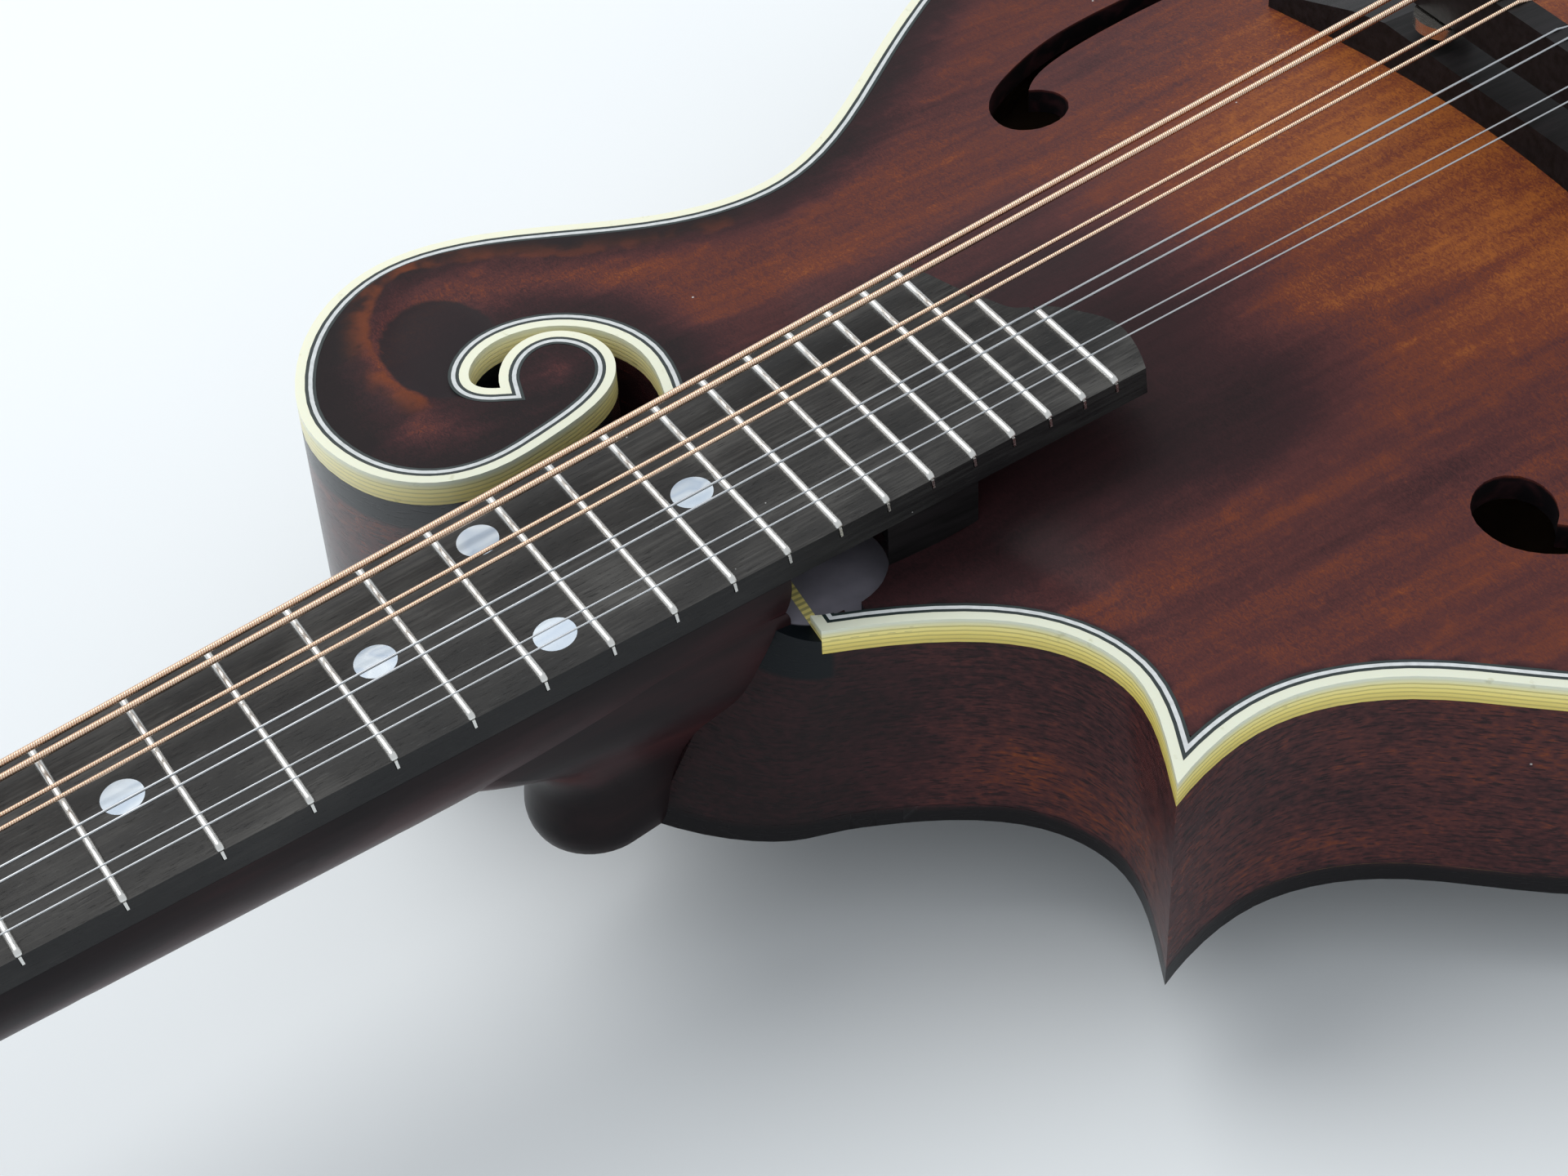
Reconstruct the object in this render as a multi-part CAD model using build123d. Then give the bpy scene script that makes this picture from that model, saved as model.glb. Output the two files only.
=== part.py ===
from build123d import *
import math
import os

os.makedirs("parts", exist_ok=True)

# Left-handed scroll-body mandolin.  It is drawn in a body frame: x towards the scroll (bass) side,
# y towards the headstock, z up out of the soundboard, z = 0 on top of the binding, and y = 0 under
# the fret where the neck meets the body.  The last section turns it onto its back, at rest.

# ---- Driving dimensions, in millimetres and degrees -------------------------------------------
# scale and neck
scale_length = 352.4
joint_fret = 15
fret_count = 23
neck_pitch = 5.9            # the fingerboard falls towards the nut by this angle
board_height = 11.6         # top of the board over the binding, at the joint fret
board_thickness = 4.8
nut_half_width = 14.3
joint_half_width = 19.2
nut_thickness = 5.0
nut_height = 1.1            # over the top of the board
nut_rear_height = -0.6      # the nut's top slopes down towards the tuners
neck_depth_nut = 16.5       # below the board's underside
neck_depth_heel = 19.5
fret_crown_width = 2.0
fret_crown_height = 1.0
fret_tang_width = 0.6
fret_tang_depth = 1.8
fret_end_bevel = 30.0
dot_diameter = 6.2
dot_depth = 1.4
side_dot_diameter = 2.0

# body
rim_depth = 42.0            # binding top to the back's edge
top_thickness = 4.5
back_thickness = 3.5
rib_thickness = 2.0
binding_width = 1.5
purfling_widths = (0.55, 0.65, 0.5)     # black, white, black, going inwards
purfling_depth = 1.5
top_arch = 12.0
back_arch = 13.0
arch_peak_y = -165.0
arch_head_reach = 210.0     # from the peak towards the neck
arch_tail_reach = 140.0     # from the peak towards the tail
bout_centre_y = -184.0
arch_half_width_bout = 118.0
arch_half_width_waist = 62.0
waist_y = -45.0
arch_half_width_shoulder = 22.0     # past the cutaway, under the board
shoulder_y = -27.0
tail_y = -311.0
glue_line = 0.04            # between the plates and what carries them
lining_width = 5.0
lining_height = 7.0
tone_bar_width = 6.0
tone_bar_height = 11.0

# neck joint
heel_nose_radius = 9.5
heel_nose_y = 25.5
prow_top_z = -2.0
spot_face_centre = (-11.3, -8.0)
spot_face_radius = 11.2
spot_face_limit_x = -6.0      # it runs this far in under the board
riser_half_width = 18.5
riser_end_y = -32.0
tenon_length = 20.0
tenon_root_width = 15.0
tenon_end_width = 21.0

# headstock and tuners
head_pitch = 15.0           # further fall of the headstock behind the nut
head_thickness = 14.0
overlay_thickness = 2.0
head_length = 168.0
first_post_y = 38.0
post_spacing = 23.3
post_offset_x = 17.5
post_radius = 3.0
post_height = 9.0           # over the overlay
bushing_radius = 4.6
bushing_rim = 1.2
shaft_clearance = 0.05
plate_width = 15.0
plate_thickness = 1.2
plate_overhang = 13.0         # beyond the outer posts
gear_radius = 5.4
gear_teeth = 14
gear_thickness = 3.0
worm_radius = 2.7
worm_length = 8.0
worm_gap = 0.12
worm_shaft_radius = 1.5
button_reach = 47.0         # centre line of the instrument to the button's middle
button_length = 13.0
button_half_height = 7.0
button_half_thickness = 4.2
wind_radius = 4.2
wind_height = 3.4

# strings, from the treble (-x) to the bass side (+x)
string_radii = (0.14, 0.14, 0.19, 0.19, 0.33, 0.33, 0.51, 0.51)
nut_course_spacing = 7.0
nut_pair_gap = 2.2
bridge_course_spacing = 11.6
bridge_pair_gap = 2.7
string_seat = 0.03          # clearance where a string lies on the nut, the saddle or a hook
string_slot_gap = 0.08      # clearance round a string in the nut and the saddle
string_lift = 5.6           # string centre over the overlay's underside, at the post
winding_gap = 0.3
bend_swell = 1.05           # of the radius, where a string bends over the nut and the saddle
loop_swell = 1.25           # of the radius, round the loop on its hook

# bridge
saddle_distance = 354.4     # nut to saddle, with its compensation
saddle_height = 4.6         # saddle top over the board's plane
bridge_half_length = 57.0
bridge_thickness = 11.0
bridge_end_z = 8.8
bridge_shoulder = (7.0, 10.6)      # in from the end, and its height
bridge_slope = (21.0, 15.6)
bridge_flat_half = 28.0
base_top_z = 17.6
post_embedded = 4.5         # depth of a bridge post in the base, and in the saddle
post_in_saddle = 5.5
thread_clearance = 0.08
saddle_half_length = 27.0
saddle_thickness = 5.0
saddle_depth = 9.6
saddle_post_x = 20.0
saddle_post_radius = 1.5
thumbwheel_radius = 5.0
thumbwheel_thickness = 2.0
saddle_travel = 1.4
body_gap = 0.3              # between curved or sliding faces of different bodies

# tailpiece and end pin
tailpiece_half_width = 20.0
tailpiece_length = 46.0
tailpiece_sheet = 1.2
tailpiece_lift = 3.2
tailpiece_leg = 30.0
hook_y = -291.0
hook_radius = 1.1
hook_height = 6.0
hook_spacing = 4.6
cover_length = 52.0
cover_front_height = 17.5
cover_rear_height = 10.5
cover_sheet = 1.0
end_pin_z = -21.0
end_pin_radius = 6.5
end_pin_head = 4.0
end_pin_neck_radius = 3.5
end_pin_length = 13.0
screw_radius = 1.1
screw_head_radius = 2.3
screw_head_height = 1.0
screw_length = 8.0

# ---- Frames and simple helpers -----------------------------------------------------------------
joint_distance = scale_length * (1 - 2 ** (-joint_fret / 12))
board_frame = Pos(0, 0, board_height) * Rot(X=-neck_pitch)
head_frame = board_frame * Pos(0, joint_distance + nut_thickness, -board_thickness) * Rot(X=-head_pitch)
parts = {}


def fret_y(number):
    """Board-frame y of a fret; 0 is the nut."""
    return joint_distance - scale_length * (1 - 2 ** (-number / 12))


def board_half_width(y):
    slope = (joint_half_width - nut_half_width) / joint_distance
    return joint_half_width - slope * y


def point_in(frame, x, y, z):
    return (frame * Pos(x, y, z)).position


def rod(start, end, radius):
    """A round bar between two points."""
    along = Vector(*end) - Vector(*start)
    plane = Plane(origin=Vector(*start), z_dir=along)
    return plane * Cylinder(radius, along.length, align=(Align.CENTER, Align.CENTER, Align.MIN))


def block(x0, x1, y0, y1, z0, z1):
    return Pos((x0 + x1) / 2, (y0 + y1) / 2, (z0 + z1) / 2) * Box(x1 - x0, y1 - y0, z1 - z0)


def prism(face, z0, z1):
    return extrude(Pos(0, 0, z0) * face, z1 - z0)


def polygon(*points):
    return make_face(Polyline(*points, close=True).edges())


def group(solids):
    return Compound(children=[s for piece in solids for s in piece.solids()])


# ---- Body outline --------------------------------------------------------------------------------
# The outer face of the rim, clockwise seen from the front.  Each run is one smooth curve, and the
# runs meet at the neck's corners, at the tip inside the scroll and at the two points.
scroll_tip = (48.4, 10.8)
upper_point = (-75.2, -25.2)
lower_point = (-126.0, -150.0)
neck_corner_treble = (-24.3, -1.5)
neck_corner_bass = (20.5, -6.5)
rim_runs = (
    (neck_corner_bass, (33.0, -9.4), (43.2, -11.4), (50.8, -9.3), (57.0, -3.2), (59.0, 4.5), (57.3, 10.2),
     (52.8, 13.8), scroll_tip),
    (scroll_tip, (53.2, 8.1), (56.4, 3.0), (56.3, -1.6), (52.9, -5.9), (47.2, -7.6), (41.0, -5.2),
     (36.6, 1.0), (33.9, 9.8), (32.3, 19.5), (33.9, 27.7), (40.1, 35.1), (49.0, 38.9), (58.5, 39.4),
     (68.8, 35.9), (80.0, 27.1), (87.0, 12.3), (85.6, -1.5), (76.4, -22.1), (70.3, -39.4), (70.3, -51.0),
     (77.1, -66.4), (90.1, -84.0), (101.2, -99.5), (114.0, -122.0), (123.4, -150.0), (127.0, bout_centre_y),
     (120.5, -226.0), (98.0, -266.0), (56.0, -299.0), (0.0, tail_y), (-56.0, -299.0), (-98.0, -266.0),
     (-119.5, -226.0), (-124.0, -192.0), (-121.5, -168.0), lower_point),
    (lower_point, (-118.0, -141.0), (-112.5, -121.0), (-103.5, -98.0), (-91.0, -79.9), (-76.6, -62.9),
     (-70.6, -44.5), (-72.3, -33.0), upper_point),
    (upper_point, (-67.5, -29.0), (-55.0, -32.6), (-43.9, -29.6), (-33.5, -19.5), neck_corner_treble),
    (neck_corner_treble, neck_corner_bass),
)
samples_per_span = 6        # how closely an inset curve follows its run
weld = 0.001                # points closer than this are one point
crowding = 0.3              # a curve keeps no point this close to a trimmed corner


def run_curve(run):
    return Spline(*run) if len(run) > 2 else Line(*run)


def inset_points(run, inset):
    """Points of a run moved inwards, which is to the right of its direction, closer where it is tight."""
    curve = run_curve(run)
    spans = [math.dist(p, q) for p, q in zip(run, run[1:])]
    moved = []
    for i in range(samples_per_span * len(spans) + 1):
        whole, part = divmod(i, samples_per_span)
        done = sum(spans[:whole]) + (spans[whole] * part / samples_per_span if part else 0)
        place = curve.position_at(done / sum(spans), position_mode=PositionMode.PARAMETER)
        way = curve.tangent_at(done / sum(spans), position_mode=PositionMode.PARAMETER)
        moved.append((place.X + way.Y * inset, place.Y - way.X * inset))
    return moved


def crossing(a, b, c, d, limited):
    """Where line ab meets line cd; if limited, only within both."""
    ux, uy, vx, vy = b[0] - a[0], b[1] - a[1], d[0] - c[0], d[1] - c[1]
    cross = ux * vy - uy * vx
    if abs(cross) < 1e-9:
        return None
    s = ((c[0] - a[0]) * vy - (c[1] - a[1]) * vx) / cross
    t = ((c[0] - a[0]) * uy - (c[1] - a[1]) * ux) / cross
    if limited and not (0 <= s <= 1 and 0 <= t <= 1):
        return None
    return (a[0] + s * ux, a[1] + s * uy)


def mitre(before, after):
    """Trim two neighbouring runs where they cross, or give the mitre point if they have to be lengthened."""
    for i in range(len(before) - 2, len(before) // 2, -1):
        for j in range(min(len(after) - 1, len(after) // 2 + 1)):
            hit = crossing(before[i], before[i + 1], after[j], after[j + 1], True)
            if hit:
                kept = [p for p in before[:i + 1] if math.dist(p, hit) > crowding]
                return kept + [hit], [hit] + [p for p in after[j + 1:] if math.dist(p, hit) > crowding], []
    if math.dist(before[-1], after[0]) < weld:
        return before, [before[-1]] + after[1:], []
    corner = crossing(before[-2], before[-1], after[0], after[1], False)
    ahead = corner and math.dist(before[-2], corner) > math.dist(before[-2], before[-1])
    return before, after, [corner] if ahead else []


def rim_face(inset=0.0):
    """The body's plan, moved inwards by an inset."""
    if inset == 0:
        return make_face([run_curve(run) for run in rim_runs])
    runs = [inset_points(run, inset) for run in rim_runs]
    corners = []
    for i in range(len(runs)):
        j = (i + 1) % len(runs)
        runs[i], runs[j], corner = mitre(runs[i], runs[j])
        corners.append(corner)
    edges = []
    for points, corner, following in zip(runs, corners, runs[1:] + runs[:1]):
        edges.append(Spline(*points))
        chain = [points[-1]] + corner + [following[0]]
        edges += [Line(p, q) for p, q in zip(chain, chain[1:]) if math.dist(p, q) > weld]
    return make_face(edges)


# ---- Arching -------------------------------------------------------------------------------------
def half_cosine(ratio):
    return (1 + math.cos(math.pi * min(1.0, abs(ratio)))) / 2


def arch_half_width(y):
    """Half width of the arched part of the plates at y."""
    if y < bout_centre_y:
        ratio = min(1.0, (bout_centre_y - y) / (bout_centre_y - arch_peak_y + arch_tail_reach))
        return max(1.0, arch_half_width_bout * math.sqrt(1 - ratio ** 2))
    if y < waist_y:
        blend = half_cosine((y - bout_centre_y) / (waist_y - bout_centre_y))
        return arch_half_width_waist + (arch_half_width_bout - arch_half_width_waist) * blend
    blend = half_cosine((y - waist_y) / (shoulder_y - waist_y))
    return arch_half_width_shoulder + (arch_half_width_waist - arch_half_width_shoulder) * blend


def arch_lift(x, y):
    """Height of the arching over the rim, from 0 to 1."""
    reach = arch_head_reach if y > arch_peak_y else arch_tail_reach
    return half_cosine((y - arch_peak_y) / reach) * half_cosine(x / arch_half_width(y))


arch_step = 6.5
arch_columns = 22            # each way from the centre line
arch_rows = 62


def arch_face(height, base_z):
    columns = [i * arch_step for i in range(-arch_columns, arch_columns + 1)]
    rows = [tail_y - arch_step + i * arch_step for i in range(arch_rows)]
    grid = [[(x, y, base_z + height * arch_lift(x, y)) for x in columns] for y in rows]
    return Face.make_surface_from_array_of_points(grid, tol=0.02)


def arched_plate(face, height, base_z, thickness):
    """A plate of even thickness whose base_z side is the outer one."""
    lift = 2.0 + abs(height) + thickness
    slab = Solid.extrude(arch_face(height, base_z), (0, 0, -thickness if height > 0 else thickness))
    return prism(face, base_z - lift, base_z + lift) & slab


def under_top(depth=60.0):
    """Everything below the soundboard's outer surface."""
    return Solid.extrude(arch_face(top_arch, 0), (0, 0, -depth))


# ---- Plates, binding and purfling ----------------------------------------------------------------
insets = [binding_width]
for width in purfling_widths:
    insets.append(insets[-1] + width)
rim = rim_face()
inside_binding = rim_face(insets[0])
inset_faces = [inside_binding] + [rim_face(inset) for inset in insets[1:]]
inside_rib = rim_face(rib_thickness)
spot_face = Pos(*spot_face_centre, prow_top_z) * Cylinder(
    spot_face_radius, 40, align=(Align.CENTER, Align.CENTER, Align.MIN))
spot_cut = spot_face & block(-60, spot_face_limit_x, -60, 60, -10, 60)

# f-holes: an eye at each end and a slender stem, turned about the middle by half a turn
f_middle = (75.5, -150.0)
f_eye = (60.2, -96.3)
f_eye_radius = 6.3
f_outer_edge = ((60.2, -90.0), (66.5, -92.0), (72.6, -100.5), (76.6, -111.3), (78.2, -124.0))
f_inner_edge = ((72.8, -128.0), (72.2, -119.5), (70.9, -110.5), (68.3, -103.0), (63.5, -98.0))


def turned(point):
    return (2 * f_middle[0] - point[0], 2 * f_middle[1] - point[1])


def f_hole():
    upper = list(f_outer_edge)
    lower = [turned(p) for p in f_outer_edge]
    right = Spline(*upper, *[turned(p) for p in f_inner_edge])
    left = Spline(*lower, *f_inner_edge)
    stem = make_face([right, Line(right @ 1, lower[0]), left, Line(left @ 1, upper[0])])
    eyes = [Pos(*p) * Circle(f_eye_radius) for p in (f_eye, turned(f_eye))]
    return stem + eyes[0] + eyes[1]


bass_f_hole = prism(f_hole(), -10, 25)
treble_f_hole = mirror(bass_f_hole, Plane.YZ)

top = arched_plate(inside_binding, top_arch, 0, top_thickness)
top = top - prism(inside_binding - inset_faces[-1], -purfling_depth, 5)
parts["top_plate"] = top - bass_f_hole - treble_f_hole - spot_cut

binding = prism(rim - inside_binding, -top_thickness, 0) - spot_cut
parts["binding"] = binding
purfling = [prism(outer - inner, -purfling_depth, 0) - spot_cut
            for outer, inner in zip(inset_faces, inset_faces[1:])]
parts["purfling_black"] = group([purfling[0], purfling[2]])
parts["purfling_white"] = purfling[1]

# ---- Back, with the prow that runs out to the heel -----------------------------------------------
back_z = -rim_depth
plate_floor = back_z + back_thickness
rib_bottom = plate_floor + glue_line
cutaway_end = [run_curve(rim_runs[3]).position_at(share) for share in (0.84, 0.9, 0.96)]
cutaway_end = tuple((place.X, place.Y) for place in cutaway_end)
prow_treble_top = (*cutaway_end, neck_corner_treble, (-22.0, 0.9), (-18.4, 2.8), (-14.0, 4.0))
prow_bass_top = ((14.0, 4.0), (17.0, 1.0), (19.3, -2.6), neck_corner_bass)
prow_treble_low = (*cutaway_end, (-22.9, 3.4), (-18.9, 9.6), (-14.0, 14.6), (-7.4, 19.5))
prow_bass_low = ((7.4, 19.5), (14.5, 13.0), (19.8, 4.0), (22.5, -7.2))


def prow_section(treble, bass, z):
    edges = [Spline(*treble), Line(treble[-1], bass[0]), Spline(*bass), Line(bass[-1], treble[0])]
    return Pos(0, 0, z) * make_face(edges)


prow = loft([prow_section(prow_treble_top, prow_bass_top, prow_top_z),
             prow_section(prow_treble_low, prow_bass_low, back_z)], ruled=True)
back = arched_plate(rim, -back_arch, back_z, back_thickness)
parts["back_plate"] = back + (prow & block(-40, 40, -20, 30, back_z, plate_floor))

# ---- Ribs, blocks and linings --------------------------------------------------------------------
rib_top = -top_thickness - glue_line
head_block_inner_y = -32.0
rib_ring = prism(rim - inside_rib, rib_bottom, rib_top) - prow
cutaway_zone = prism(polygon(upper_point, (-71, -31), (-60, -45), (-10, -45), (-10, 30), (-90, 30)),
                     back_z, 0)
bout_zone = prism(polygon(lower_point, (-119.5, -155.0), (-60, -170), (0, -250), (0, -330), (-200, -330),
                          (-200, -150)), back_z, 0)
treble_zone = prism(polygon((0, -330), (0, -200), (-20, -60), (-20, 30), (-200, 30), (-200, -330)),
                    back_z, 0)
parts["rib_scroll_side"] = rib_ring - treble_zone
cutaway_rib = rib_ring & treble_zone & cutaway_zone
parts["rib_cutaway"] = max(cutaway_rib.solids(), key=lambda s: s.volume)
parts["rib_lower_bout"] = (rib_ring & treble_zone & bout_zone) - cutaway_zone
parts["rib_waist"] = (rib_ring & treble_zone) - cutaway_zone - bout_zone

scroll_zone = polygon((22.0, head_block_inner_y), (22.0, 45), (100, 45), (100, -27), (60, -27))
head_zone = polygon((-31, head_block_inner_y), (-31, 10), (22, 10), (22, head_block_inner_y))
upper_point_zone = polygon((-90, -20), (-62, -20), (-66, -47), (-90, -47))
lower_point_zone = polygon((-135, -125), (-112, -125), (-112, -168), (-135, -168))
tail_zone = polygon((-32, tail_y + 16), (32, tail_y + 16), (32, tail_y - 2), (-32, tail_y - 2))

tenon = prism(polygon((-tenon_root_width / 2, 6), (tenon_root_width / 2, 6),
                      (tenon_end_width / 2, 6 - tenon_length), (-tenon_end_width / 2, 6 - tenon_length)),
              rib_bottom, -12)
rim_above = prism(rim, rib_top, 10)
prow_upper = prow & block(-40, 40, -20, 30, rib_bottom, 0)
head_block = prism(inside_rib & head_zone, rib_bottom, rib_top) + prow_upper
head_block -= block(-60, neck_corner_treble[0], -40, 30, rib_top, 5)
head_block = head_block - rim_above - parts["rib_cutaway"] - parts["rib_scroll_side"]
parts["scroll_block"] = prism(inside_rib & scroll_zone, rib_bottom, rib_top)
parts["point_blocks"] = group([prism(inside_rib & upper_point_zone, rib_bottom, rib_top),
                               prism(inside_rib & lower_point_zone, rib_bottom, rib_top)])
tail_block = prism(inside_rib & tail_zone, rib_bottom, rib_top)
pin_hole = rod((0, tail_y - 20, end_pin_z), (0, tail_y + end_pin_length, end_pin_z), end_pin_neck_radius)
parts["tail_block"] = tail_block - pin_hole
for name in ("rib_scroll_side", "rib_lower_bout"):
    parts[name] = parts[name] - pin_hole

chamber = inside_rib - scroll_zone - head_zone - upper_point_zone - lower_point_zone - tail_zone
lining = chamber - rim_face(rib_thickness + lining_width)
parts["top_lining"] = prism(lining, rib_top - lining_height, rib_top)
parts["back_lining"] = prism(lining, rib_bottom, rib_bottom + lining_height)

# tone bars follow the underside of the soundboard
bar_x, bar_y, bar_angle, bar_length = 27.0, -150.0, 6.0, 180.0
under_plate = Solid.extrude(arch_face(top_arch, -top_thickness), (0, 0, -60))
under_bars = Solid.extrude(arch_face(top_arch, -top_thickness - tone_bar_height), (0, 0, -60))
bars = []
for side in (-1, 1):
    plan = Pos(side * bar_x, bar_y, 0) * Rot(Z=side * bar_angle) * Rectangle(tone_bar_width, bar_length)
    bars.append((prism(plan, -30, 10) & under_plate) - under_bars)
parts["tone_bars"] = group(bars)

# ---- Neck ----------------------------------------------------------------------------------------
neck_end_y = joint_distance + nut_thickness
heel_depth_extra = 0.5
section_points = ((1.0, 0.0), (0.93, 0.42), (0.58, 0.86), (0.0, 1.0))     # shares of half width and depth


def neck_section(y, depth):
    """A flat-topped round-backed section under the board, at board-frame y."""
    half = board_half_width(min(y, joint_distance))
    right = [(x * half, -z * depth) for x, z in section_points]
    left = [(-x, z) for x, z in reversed(right[:-1])]
    curve = Spline(*right, *left)
    outline = make_face([curve, Line(left[-1], right[0])])
    return board_frame * Pos(0, y, -board_thickness) * Rot(X=90) * outline


shaft = loft([neck_section(neck_end_y, neck_depth_nut - 2), neck_section(neck_end_y - 30, neck_depth_nut),
              neck_section(60, neck_depth_heel)], ruled=True)
shaft += loft([neck_section(60, neck_depth_heel), neck_section(-12, neck_depth_heel + heel_depth_extra)])
# the heel's levels: height, how far the nose's centre is beyond its foot, its radius, and the half
# width of the flank where it meets the body
heel_levels = ((back_z, 0.0, heel_nose_radius, 4.0), (-31.0, 0.0, heel_nose_radius, 6.5),
               (-25.0, 1.2, heel_nose_radius + 0.7, 10.0), (-20.5, 4.6, heel_nose_radius + 2.2, 13.5),
               (-16.0, 11.5, heel_nose_radius + 4.0, 16.4), (-10.0, 20.0, heel_nose_radius + 5.5, 18.0),
               (0.0, 28.0, heel_nose_radius + 6.7, 19.0))
heel_root_y = -10.0


def heel_section(z, ahead, radius, root):
    """A flat-sided, round-nosed level of the heel, with the flanks tangent to the nose."""
    centre_y = heel_nose_y + ahead
    lean = math.atan((radius - root) / (centre_y - heel_root_y))
    side = (radius * math.cos(lean), centre_y - radius * math.sin(lean))
    other = (-side[0], side[1])
    nose = ThreePointArc(side, (0, centre_y + radius), other)
    return Pos(0, 0, z) * make_face([Line((root, heel_root_y), side), nose, Line(other, (-root, heel_root_y)),
                                     Line((-root, heel_root_y), (root, heel_root_y))])


heel = loft([heel_section(*level) for level in heel_levels])

# the headstock's plan, in its own frame: y from the nut to the tip
head_root = -6.0
head_side = ((nut_half_width, 0.0), (18.0, 8.0), (26.5, 16.0), (32.0, 27.0), (31.0, 44.0), (28.2, 68.0),
             (28.8, 96.0), (32.5, 118.0), (38.5, 136.0))
head_tip = (-46.0, head_length)
head_crown = (head_tip, (-32.0, 153.5), (-17.0, 146.0), (-4.0, 146.5), (6.5, 153.0))
curl_centre = (24.0, 149.0)
curl_radius = 17.5
curl_eye_radius = 3.2
curl_eye = (15.5, 150.0)
head_left = [(-x, y) for x, y in head_side] + [(-42.5, 152.0), head_tip]
head_face = make_face([Spline(*head_side), Line(head_side[-1], curl_centre), Line(curl_centre, head_crown[-1]),
                       Spline(*head_crown), Spline(*reversed(head_left)), Line(head_left[0], head_side[0])])
head_face += Pos(*curl_centre) * Circle(curl_radius)
head_face -= Pos(*curl_eye) * Circle(curl_eye_radius)
head_face -= polygon((curl_eye[0] - 3, curl_eye[1] + 1), (curl_eye[0] + 1, curl_eye[1] + 3),
                     (6, 172), (-4, 162))
root_face = polygon((-nut_half_width, head_root), (nut_half_width, head_root), (nut_half_width, 2),
                    (-nut_half_width, 2))
head_slab = head_frame * prism(head_face + root_face, -head_thickness, 0)

posts = [(side * post_offset_x, first_post_y + k * post_spacing) for side in (-1, 1) for k in range(4)]
pocket_half_width, pocket_length, pocket_depth = 4.0, 18.0, 5.0
rod_radius, rod_drop, rod_start_y, rod_tail = 3.0, 5.0, 14.0, 10.0
rod_pocket = head_frame * block(-pocket_half_width, pocket_half_width, 2, 2 + pocket_length, -pocket_depth, 5)
rod_line = (point_in(board_frame, 0, rod_start_y, -board_thickness - rod_drop),
            point_in(board_frame, 0, neck_end_y + rod_tail, -board_thickness - rod_drop))
truss_rod = rod(*rod_line, rod_radius)
screw_drop = head_thickness + plate_thickness


def screw(x, y, z, length=screw_length):
    """A screw in the current frame with its head on the plane z, driven along +z."""
    head = Pos(x, y, z - screw_head_height) * Cylinder(
        screw_head_radius, screw_head_height, align=(Align.CENTER, Align.CENTER, Align.MIN))
    return head + rod((x, y, z), (x, y, z + length), screw_radius)


screw_rows = [first_post_y - 9.5] + [first_post_y + k * post_spacing + 14.6 for k in range(4)]
plate_middle_x = post_offset_x + 0.5
tuner_screws = [head_frame * screw(side * plate_middle_x, y, -screw_drop)
                for side in (-1, 1) for y in screw_rows]
parts["tuner_screws"] = group(tuner_screws)

cover_thickness = 1.5
cover_outline = ((-9.0, 1.0), (9.0, 1.0), (7.5, 12.0), (10.5, 26.0), (0.0, 34.0), (-10.5, 26.0),
                 (-7.5, 12.0))
cover_screw_places = ((-5.8, 4.2), (5.8, 4.2), (0.0, 29.0))
cover_face = make_face([Line(cover_outline[0], cover_outline[1]), Spline(*cover_outline[1:5]),
                        Spline(cover_outline[4], cover_outline[5], cover_outline[6], cover_outline[0])])
cover_top = overlay_thickness + cover_thickness
cover_screws = [head_frame * Pos(x, y, cover_top) * Rot(X=180) * screw(0, 0, 0)
                for x, y in cover_screw_places]
parts["truss_rod_cover"] = head_frame * prism(cover_face, overlay_thickness, cover_top) - cover_screws

neck = shaft + (heel - board_frame * block(-60, 60, -90, 90, -board_thickness, 60)) + head_slab
neck -= head_frame * block(-60, 60, 0, 220, 0, 60)
neck -= board_frame * block(-60, 60, -90, neck_end_y, -board_thickness, 60)
neck -= prow
neck -= prism(inside_rib & head_zone, back_z - 1, 12)
neck -= rim_above
neck -= spot_cut
neck = max(neck.solids(), key=lambda s: s.volume) + tenon
neck -= [head_frame * rod((x, y, -40), (x, y, 20), bushing_radius) for x, y in posts]
neck = neck - tuner_screws - cover_screws - rod_pocket - truss_rod
parts["neck"] = max(neck.solids(), key=lambda s: s.volume)
parts["head_block"] = head_block - tenon - spot_cut
parts["truss_rod"] = truss_rod

overlay = head_frame * prism(head_face, 0, overlay_thickness) - rod_pocket - cover_screws
bushing_holes = [head_frame * rod((x, y, -1), (x, y, 9), bushing_radius) for x, y in posts]
parts["headstock_overlay"] = overlay - bushing_holes

# ---- Fingerboard, frets, inlays, nut and riser ---------------------------------------------------
board_end = ((-20.6, -59.9), (-14.6, -62.0), (-9.5, -62.2), (-4.7, -59.8), (0.0, -56.0), (2.5, -52.6),
             (5.6, -51.2), (9.1, -49.6), (16.5, -47.3), (20.4, -45.8))
board_plan = make_face([Line((-nut_half_width, joint_distance), (nut_half_width, joint_distance)),
                        Line((nut_half_width, joint_distance), board_end[-1]), Spline(*board_end),
                        Line(board_end[0], (-nut_half_width, joint_distance))])
riser = prism(polygon((-riser_half_width, riser_end_y), (riser_half_width, riser_end_y), (riser_half_width, 0),
                      (-riser_half_width, 0)) & rim, -3, 15)
riser -= board_frame * block(-60, 60, -90, 90, -board_thickness, 60)
parts["riser"] = riser - under_top() - spot_cut

single_dots = (3, 5, 7, 10, 15)
double_dot, double_dot_x = 12, 11.4


def dot_y(number):
    return (fret_y(number) + fret_y(number - 1)) / 2


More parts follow.
